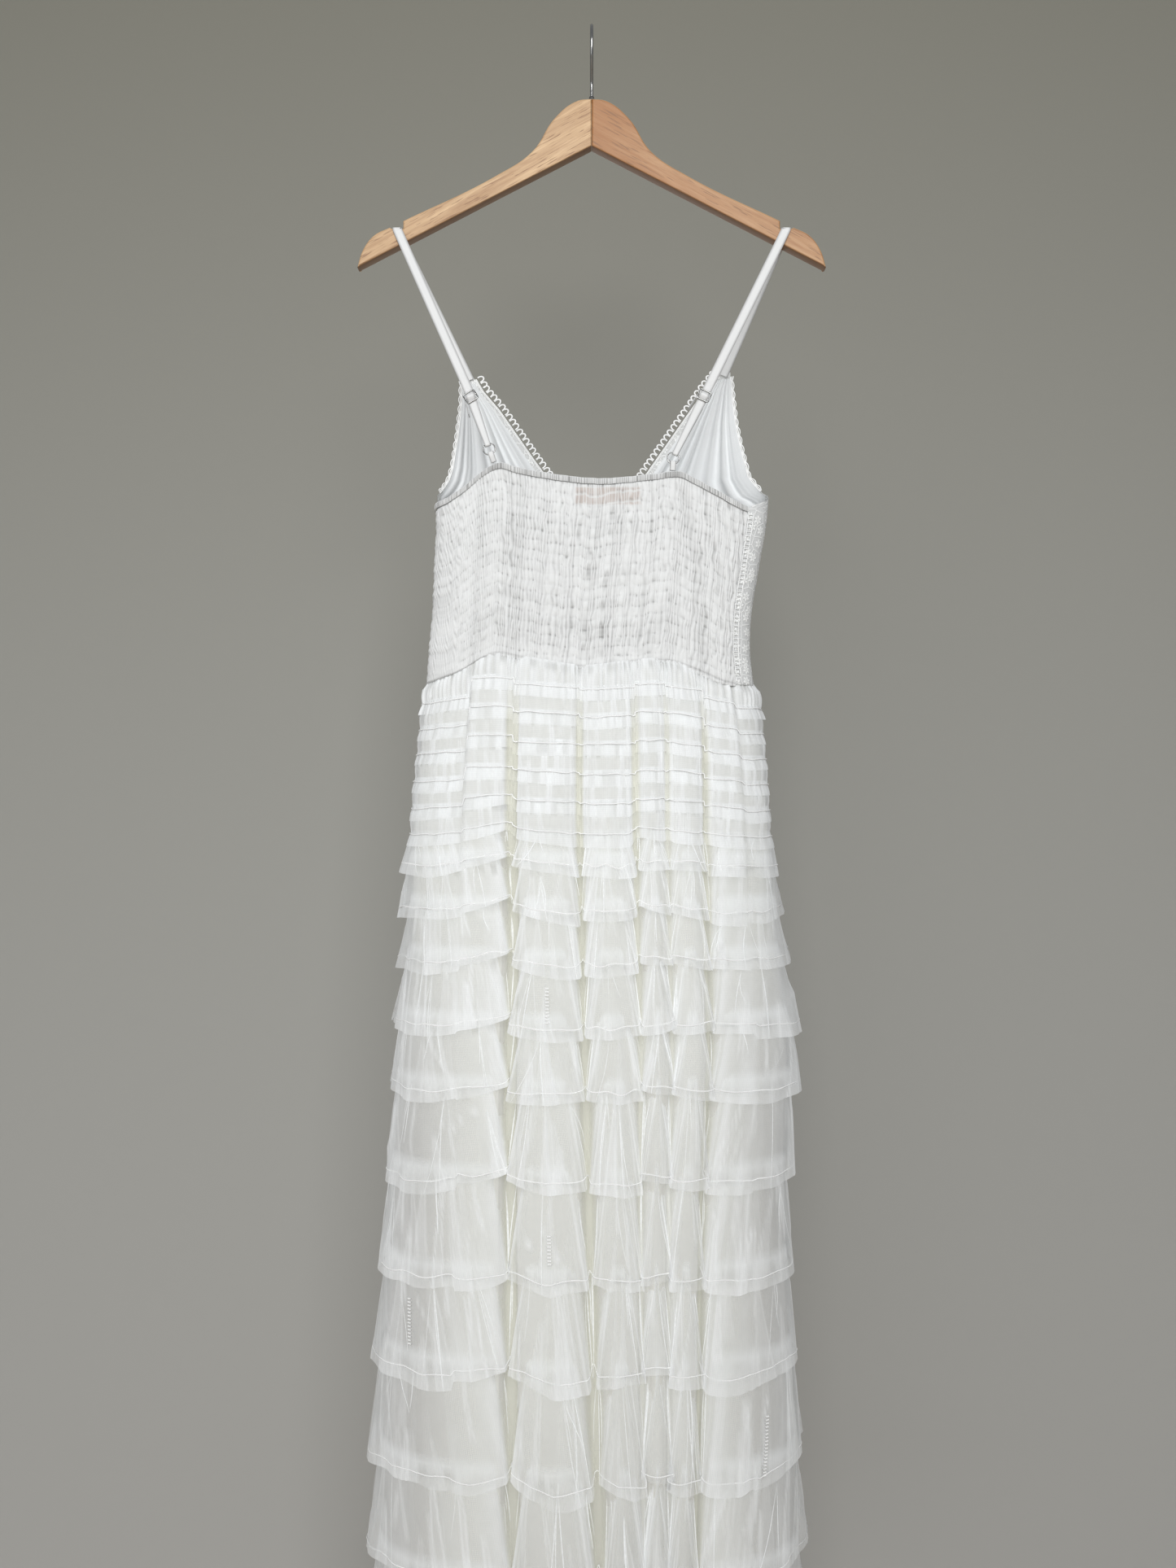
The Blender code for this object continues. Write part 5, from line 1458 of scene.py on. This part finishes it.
def ladder_stitches(points, outward, drops, hem_above, hem):
    """The cross stitches of the seams that join a tier's lengths, where they show on the back."""
    stitches = []
    for x, top, bottom in LADDER_SEAMS:
        if not hem_above < (top + bottom) / 2 <= hem:
            continue
        columns = np.flatnonzero(points[-1, :, 1] > 0)
        column = columns[np.abs(points[-1, columns, 0] - x).argmin()]
        for drop in np.arange(top, bottom, LADDER_STEP):
            row = np.interp(drop, drops[:, column], np.arange(len(points)))
            within = np.array([min(row, len(points) - 1.001)])
            place = on_cloth(points, np.array([float(column)]), within)[0]
            out = outward[int(row), column]
            side = np.cross(out, (0, 0, 1.0))
            line = place + 1.0 * out + side * np.linspace(-0.5, 0.5, 4)[:, None] * LADDER_WIDTH
            stitches.append(lying_thread(line, out, 0.6, 5, 0.3))
    return stitches


def stitching(order, look, points, facing, deep, drops, stitched):
    """The thread round a flounce at the drops of its stitching, lifted and sunk as its gathers are."""
    top = drops[0]
    row = np.clip((stitched - top) / (drops[-1] - top) * (len(drops) - 1), 0, len(drops) - 1.001)
    out = np.concatenate([facing[row.astype(int), np.arange(COLUMNS)], np.zeros((COLUMNS, 1))], axis=1)
    sunk = look["sinks"] * (1.7 + 1.5 * ripple(AROUND, 30, 320 + order) + 4 * deep[0])
    lift = 1.6 + 0.5 * ripple(AROUND, 50, 300 + order) - sunk
    seam = at_level(points, row) + out * SEAM_THREAD * lift[:, None]
    return lying_thread(seam[::2], out[::2], SEAM_THREAD, 4, SEAM_THREAD, closed=True)


def add_flounce(form, order, spec, hem_above, below, finish):
    """One ruffle or tier: gathered at its stitching, belling over the one below, and creased.

    It gives its relief for the flounce above, its threads and its crease strips.
    """
    name, top, hem, header, flare, wave, waves, rows = spec
    tier = name.startswith("tier")
    look = TIER_LOOK if tier else RUFFLE_LOOK
    sag = hem_sag(form, hem) + look["uneven"] * ripple(AROUND, 14, 500 + order)
    v = np.linspace(0, 1, rows)[:, None]
    drops = top + (hem + sag - top) * v
    places, facing, deep = form.at(drops)
    down = drops - top
    height = hem - top
    near_top = np.minimum(down / 4, 1)
    borders = form.border * ease((850 - drops) / 40)

    fine = ripple(AROUND, form.whole / look["fine_wave"], 40 + order)
    flutes = ripple(AROUND, form.whole / look["flute_wave"], 70 + order)
    swells = ripple(AROUND, 24, 90 + order)
    gathers = ripple(AROUND, form.whole / 6.2, 130 + order, 0.5)
    pinched = np.abs(np.sin(math.pi * (drops - hem - sag * v + RUFFLE_OVERLAP) / RUFFLE_PITCH)) ** 0.8
    bell = v**0.75 if tier else 0.2 + 0.8 * pinched
    off = 0.8 + flare * bell + wave * np.cos(TURN * (waves * AROUND + order * 0.125)) * v
    off = off + look["fine"] * fine * (1 - v) * near_top
    off = off + (look["flute"] * flutes + look["swell"] * swells) * v**1.3
    off = off + look["in_fold"] * deep * v - 2.0 * borders
    if order == 0:
        off = off + 1.5 * gathers * ease(down / 4) - 2.2 * ease((WAIST + 4 - drops) / 5)

    rng = np.random.default_rng(700 + order)
    widths = rng.integers(3, 7, COLUMNS)
    blocks = np.repeat(rng.uniform(-1, 1, COLUMNS), widths)[:COLUMNS]
    if not tier:
        off = off + 0.7 * blocks * ease((header + 12 - down) / 6) * near_top
    relief, filled, lines = pleats(rng, form, down, header, height, tier)
    off = off + relief
    if tier:
        raised, placed = main_creases(places[:, :, 0], places[:, :, 1], form.arched(drops), hem_above, hem)
        off = off + raised
        lines = lines + 1.4 * placed
    if below is not None:
        for column, (own, under, stands) in enumerate(zip(drops.T, *(grid.T for grid in below))):
            over = np.where(own >= under[0], np.interp(own, under, stands, left=0) + 0.8, 0.5)
            off[:, column] = np.maximum(off[:, column], over)

    fans = 1 + 0.5 * ease((hem - 850) / 150)
    fanned = fans * (-3.5 + 9.0 * np.clip((v - 0.22) / 0.78, 0, 1)) if tier else -0.5 + 1.2 * v
    tangent = np.stack([-facing[:, :, 1], facing[:, :, 0]], axis=2)
    level = places + facing * off[:, :, None] + tangent * (form.spread * fanned)[:, :, None]
    points = np.concatenate([level, -form.arched(drops)[:, :, None]], axis=2)
    local = own_facing(level)
    fall = np.gradient(off, axis=0) / np.gradient(drops, axis=0)
    tilt = np.clip(0.12 + look["tilt"] * fall, -0.5, 0.8)

    shade = np.clip(-blocks, 0, 1) * ease((header + 11 - down) / 3) * ease((down - header) / 1.5)
    shade = shade + 0.5 * borders
    lip = bump(1 - np.abs(form.spread), 0.07) * ease((down - header) / 8)
    beside = bump(0.8 - np.abs(form.spread), 0.05) * rng.uniform(0, 1, 40)[form.panel]
    lines = lines + look["lip"] * (lip + beside * v)
    gathered = ease((header + 12 - down) / 12) if tier else ease((header + 10.4 - down) / 2)
    density = 1 + gathered * (0.6 + look["blocks"] * blocks)
    density = density + 0.8 * ease((header + 1 - down) / 2) + 0.12 * fine * (1 - 0.6 * v)
    density = density + 0.3 * flutes * v + filled + 1.6 * lines
    if order == 0:
        density = density + 1.0 + 0.5 * fine + 0.8 * gathers
        shade = shade + 0.6 * np.clip(-gathers, 0, 1)
    density = density + 0.7 * (1 / np.clip((local * facing).sum(axis=2), 0.25, 1) - 1)
    density = density * (1 - look["fold_open"] * deep)
    least = 0.5
    if tier:
        density = density + 0.9 * ease((np.abs(places[:, :, 0]) - 150) / 28)
        least = 0.29 - 0.07 * ease((hem - 850) / 400)
    else:
        shade = shade + 0.14
    cover = 1 - (1 - least) ** np.clip(density, 0.2, 5)
    piece = add_piece(
        "tulle_" + name,
        points,
        finish,
        "tulle",
        (name,),
        grid_faces(rows, COLUMNS, around=True),
        soft_normals(local, facing, 0.7 if order == 0 else 0.35, tilt),
        cloth=spread_out(form.length, drops, order),
        cover=cover * ease(0.25 + down / 5) if tier else cover,
        deep=deep,
        shade=np.clip(shade, 0, 1),
    )

    stitched = hem - (TIER_OVERLAP - TIER_HEADER if tier else RUFFLE_OVERLAP) + 0.6 * sag
    stitched = stitched + look["seam_wander"] * ripple(AROUND, 40, 200 + order)
    threads = [stitching(order, look, points, facing, deep, drops, stitched)]
    creases = []
    if tier:
        outward = np.concatenate([facing, np.zeros(drops.shape)[:, :, None]], axis=2)
        creases = sharp_creases(rng, points, outward, header / height, form.whole / COLUMNS)
        threads += ladder_stitches(points, outward, form.arched(drops), hem_above, hem)
    return (drops, off), threads, creases


def add_skirt(underskirt, tulle, thread):
    """The underskirt, then the ruffles and tiers from the lowest up, and the stitching that holds them."""
    form = Form()
    drops = np.append(WAIST - WAIST_OVERLAP, np.linspace(WAIST + 3, UNDERSKIRT_HEM, 56))[:, None]
    drops = drops * np.ones((1, COLUMNS))
    places, facing, deep = form.at(drops)
    places = places - 1.8 * facing * ease((WAIST + 4 - drops) / 5)[:, :, None]
    points = np.concatenate([places, -form.arched(drops)[:, :, None]], axis=2)
    cloth = spread_out(form.length, drops)
    normals = soft_normals(own_facing(places), facing, 0.4, 0.1)
    # Painted shade on the underskirt: greyer towards its sides and low down near the middle; its folds are
    # painted a darker cream as shade
    beside = ease((np.abs(points[:, :, 0]) - 95) / 90) * ease((-points[:, :, 2] - 760) / 300)
    low = 0.3 * ease((-points[:, :, 2] - 1250) / 250) * ease((125 - np.abs(points[:, :, 0])) / 60)
    half = BACK_SPANS * COLUMNS_PER_SPAN
    for name, first in (("back", 0), ("front", half)):
        columns = np.arange(first, first + half + 1, 2) % COLUMNS
        part = points[:, columns]
        piece = add_piece(
            "underskirt_" + name,
            part,
            underskirt,
            "underskirt",
            ("skirt_" + name,),
            facing=normals[:, columns],
            cloth=cloth[:, columns],
            hollow=(beside + low)[:, columns],
            warm=deep[:, columns],
        )
    below = None
    threads = []
    creases = []
    specs = flounces()
    for order, spec in reversed(list(enumerate(specs))):
        hem_above = specs[order - 1][2] if order else WAIST
        below, sewn, sharp = add_flounce(form, order, spec, hem_above, below, tulle)
        threads.extend(sewn)
        creases.extend(sharp)
    turned = [part[2] for part in threads]
    add_cords("seam_threads", [part[:2] for part in threads], thread, "tulle", turned=turned)
    points, faces = joined([strip[:2] for strip in creases])
    add_piece(
        "sharp_creases",
        points,
        tulle,
        "tulle",
        faces=faces,
        facing=np.concatenate([strip[2] for strip in creases]),
        cloth=points,
        cover=np.concatenate([strip[3] for strip in creases]),
        deep=np.zeros(len(points)),
        shade=np.zeros(len(points)),
    )


# Hanger


def add_hanger_half(side, finish):
    """One half of the wooden hanger, its edges eased, parted from the other at the mitre."""
    name = "hanger_" + side
    curve = bpy.data.curves.new(name, "CURVE")
    curve.dimensions = "2D"
    curve.fill_mode = "BOTH"
    curve.extrude = (HANGER_THICKNESS / 2 - HANGER_EDGE) * MM
    curve.bevel_depth = HANGER_EDGE * MM
    curve.bevel_resolution = 5
    curve.offset = -HANGER_EDGE * MM
    curve.resolution_u = 20
    spline = curve.splines.new("BEZIER")
    spline.bezier_points.add(len(HANGER_OUTLINE) - 1)
    spline.use_cyclic_u = True
    for point, (x, drop, kind) in zip(spline.bezier_points, HANGER_OUTLINE):
        point.co = Vector((max(x, GAP / 2), -drop, 0)) * MM
        point.handle_left_type = point.handle_right_type = "AUTO" if kind == "round" else "VECTOR"
    shape = bpy.data.objects.new(name + "_outline", curve)
    bpy.context.scene.collection.objects.link(shape)
    mesh = bpy.data.meshes.new_from_object(shape.evaluated_get(bpy.context.evaluated_depsgraph_get()))
    bpy.data.objects.remove(shape, do_unlink=True)
    places = np.empty(len(mesh.vertices) * 3, np.float32)
    mesh.vertices.foreach_get("co", places)
    places = places.reshape(-1, 3) / MM
    along_arm = Matrix.Rotation(-math.atan2(*ARM_SLOPE), 3, "Z")
    mirrored = side == "right"
    grain = places @ np.array(along_arm) + np.array(OTHER_BOARD) * mirrored
    head = (0.52 + 0.25 * ease((70 - np.abs(places[:, 0])) / 50)) * mirrored
    name_values(mesh, grain=grain, head=head)
    turned = Matrix.Rotation(math.pi * mirrored, 4, "Z") @ Matrix.Rotation(math.pi / 2, 4, "X")
    mesh.transform(turned)
    mesh.materials.clear()
    mesh.shade_smooth()
    mesh.set_sharp_from_angle(angle=math.radians(35))
    return settle(bpy.data.objects.new("beech_half_" + side, mesh), finish, (name,))


def add_hook(finish):
    """The hook, turned square to the hanger: shank, bow to the back and over the rail, down to its tip."""
    centre = np.array([0.0, -HOOK_RADIUS])
    angles = np.radians(np.linspace(HOOK_LEAVES_CIRCLE, HOOK_ENDS, 90))
    bow = [centre + (HOOK_RADIUS + HOOK_WIRE) * np.array([math.cos(a), math.sin(a)]) for a in angles]
    bow_start = np.array([-math.sin(angles[0]), math.cos(angles[0])])
    foot = np.array([0.0, -HANGER_OUTLINE[0][1] + GAP])
    neck = np.array([0.0, -HOOK_SHANK_TOP])
    above = neck + np.array([0, HOOK_BEND])
    before = bow[0] - bow_start * HOOK_BEND
    bend = []
    for t in np.linspace(0, 1, 24)[1:-1]:
        point = (1 - t) ** 3 * neck + 3 * t * (1 - t) ** 2 * above + 3 * t * t * (1 - t) * before
        bend.append(point + t**3 * bow[0])
    route = np.array([foot, (foot + neck) / 2, neck, *bend, *bow])
    path = np.column_stack([np.zeros(len(route)), route])
    radii = np.full(len(path), HOOK_WIRE)
    for ahead, radius in ((0.8, 0.5 * HOOK_WIRE), (0.1, 0.02)):
        path = np.concatenate([path, path[-1:] + (path[-1:] - path[-2:-1]) * ahead])
        radii = np.append(radii, radius)
    collar = np.array([(0, 0, -drop, size) for drop, size in HOOK_COLLAR])
    across = (1.0, 0.0, 0.0)
    parts = [cord(path, across, radii, 20), cord(collar[:, :3], across, collar[:, 3], 24)]
    add_cords("steel_hook", parts, finish, "nickel_plate", ("hanger_hook",))


# Room


def add_stage():
    """The wall behind, painted darker at its top as shade, the floor below, the soft lights and the camera.
    """
    wall_finish, tree, shader = new_finish("wall", 0.9)
    cloudy = node(tree, "TexNoise", Scale=1.2, Detail=2.0)
    colour = blend(tree, cloudy.outputs[0], (0.42, 0.417, 0.40), (0.48, 0.477, 0.46))
    # Painted shade: the wall is darker towards its top
    colour = blend(tree, value_at(tree, "high"), colour, (0.20, 0.194, 0.158))
    fill(tree, shader, Base_Color=blend(tree, value_at(tree, "beige"), colour, (0.48, 0.44, 0.385)))
    behind = node(tree, "NewGeometry").outputs["Backfacing"]
    seen = calc(tree, "MAXIMUM", behind, node(tree, "LightPath").outputs["Is Shadow Ray"])
    clear = node(tree, "BsdfTransparent")
    both = node(tree, "MixShader", i0=seen, i1=shader.outputs[0], i2=clear.outputs[0])
    fill(tree, tree.nodes["Material Output"], Surface=both.outputs[0])
    low, high, near = FLOOR_HEIGHT, WALL_TOP, ROOM_DEPTH
    left, right, back = ROOM_HALF_WIDTH, -ROOM_HALF_WIDTH, WALL_PLACE
    for name, corners in (
        ("wall", ((left, back, low), (right, back, low), (right, back, high), (left, back, high))),
        ("floor", ((right, back, low), (left, back, low), (left, near, low), (right, near, low))),
    ):
        mesh = bpy.data.meshes.new(name)
        mesh.from_pydata(corners, [], [(0, 1, 2, 3)])
        name_values(mesh, high=[corner[2] > 0 for corner in corners], beige=[name == "floor"] * 4)
        mesh.materials.append(wall_finish)
        board = bpy.data.objects.new(name, mesh)
        bpy.context.scene.collection.objects.link(board)

    for name, place, target, watts in LIGHTS:
        light = bpy.data.lights.new(name, "AREA")
        light.size = LIGHT_SIZE
        light.energy = watts
        lamp = bpy.data.objects.new(name, light)
        lamp.location = place
        lamp.rotation_euler = (Vector(target) - Vector(place)).to_track_quat("-Z", "Y").to_euler()
        bpy.context.scene.collection.objects.link(lamp)

    world = bpy.data.worlds.new("soft_room")
    world.use_nodes = True
    fill(world.node_tree, world.node_tree.nodes["Background"], Color=ROOM_COLOUR, Strength=ROOM_STRENGTH)
    bpy.context.scene.world = world

    camera = bpy.data.objects.new("camera", bpy.data.cameras.new("camera"))
    camera.data.lens = CAMERA_LENS
    camera.data.sensor_width = 36
    camera.data.clip_start = 0.05
    camera.location = CAMERA_PLACE
    camera.rotation_euler = (math.radians(90), 0, math.radians(180))
    bpy.context.scene.collection.objects.link(camera)
    bpy.context.scene.camera = camera
    bpy.context.scene.view_settings.view_transform = "Standard"
    bpy.context.scene.cycles.transparent_max_bounces = 32


def main():
    """Sets the stage, makes the finishes and adds every piece."""
    add_stage()
    weave = weave_group()
    tulle = tulle_finish(net_group())
    finishes = {}
    for name, colours, roughness, threads, depth, tones in CLOTHS:
        finishes[name] = cloth_finish(name, weave, colours, roughness, threads, depth, **tones)
    elastic = finishes["satin elastic"]
    thread = finishes["thread"]
    lace = lace_finish(lace_group())
    steel = nickel_finish()
    beech = beech_finish()

    add_hanger_half("left", beech)
    add_hanger_half("right", beech)
    add_hook(steel)
    add_shirred_back(finishes["shirred cotton"])
    edge = add_band(finishes["shirred cotton"])
    add_label(finishes["label"])
    for row in STRAPS:
        add_strap(row, elastic)
        add_tail(row, elastic)
        add_tab(row, edge, elastic)
        add_metal(row, steel)
    for side in ("left", "right"):
        add_front(side, lace, finishes["satin lining"], thread)
    add_ladder(thread)
    add_skirt(finishes["underskirt lining"], tulle, thread)


main()
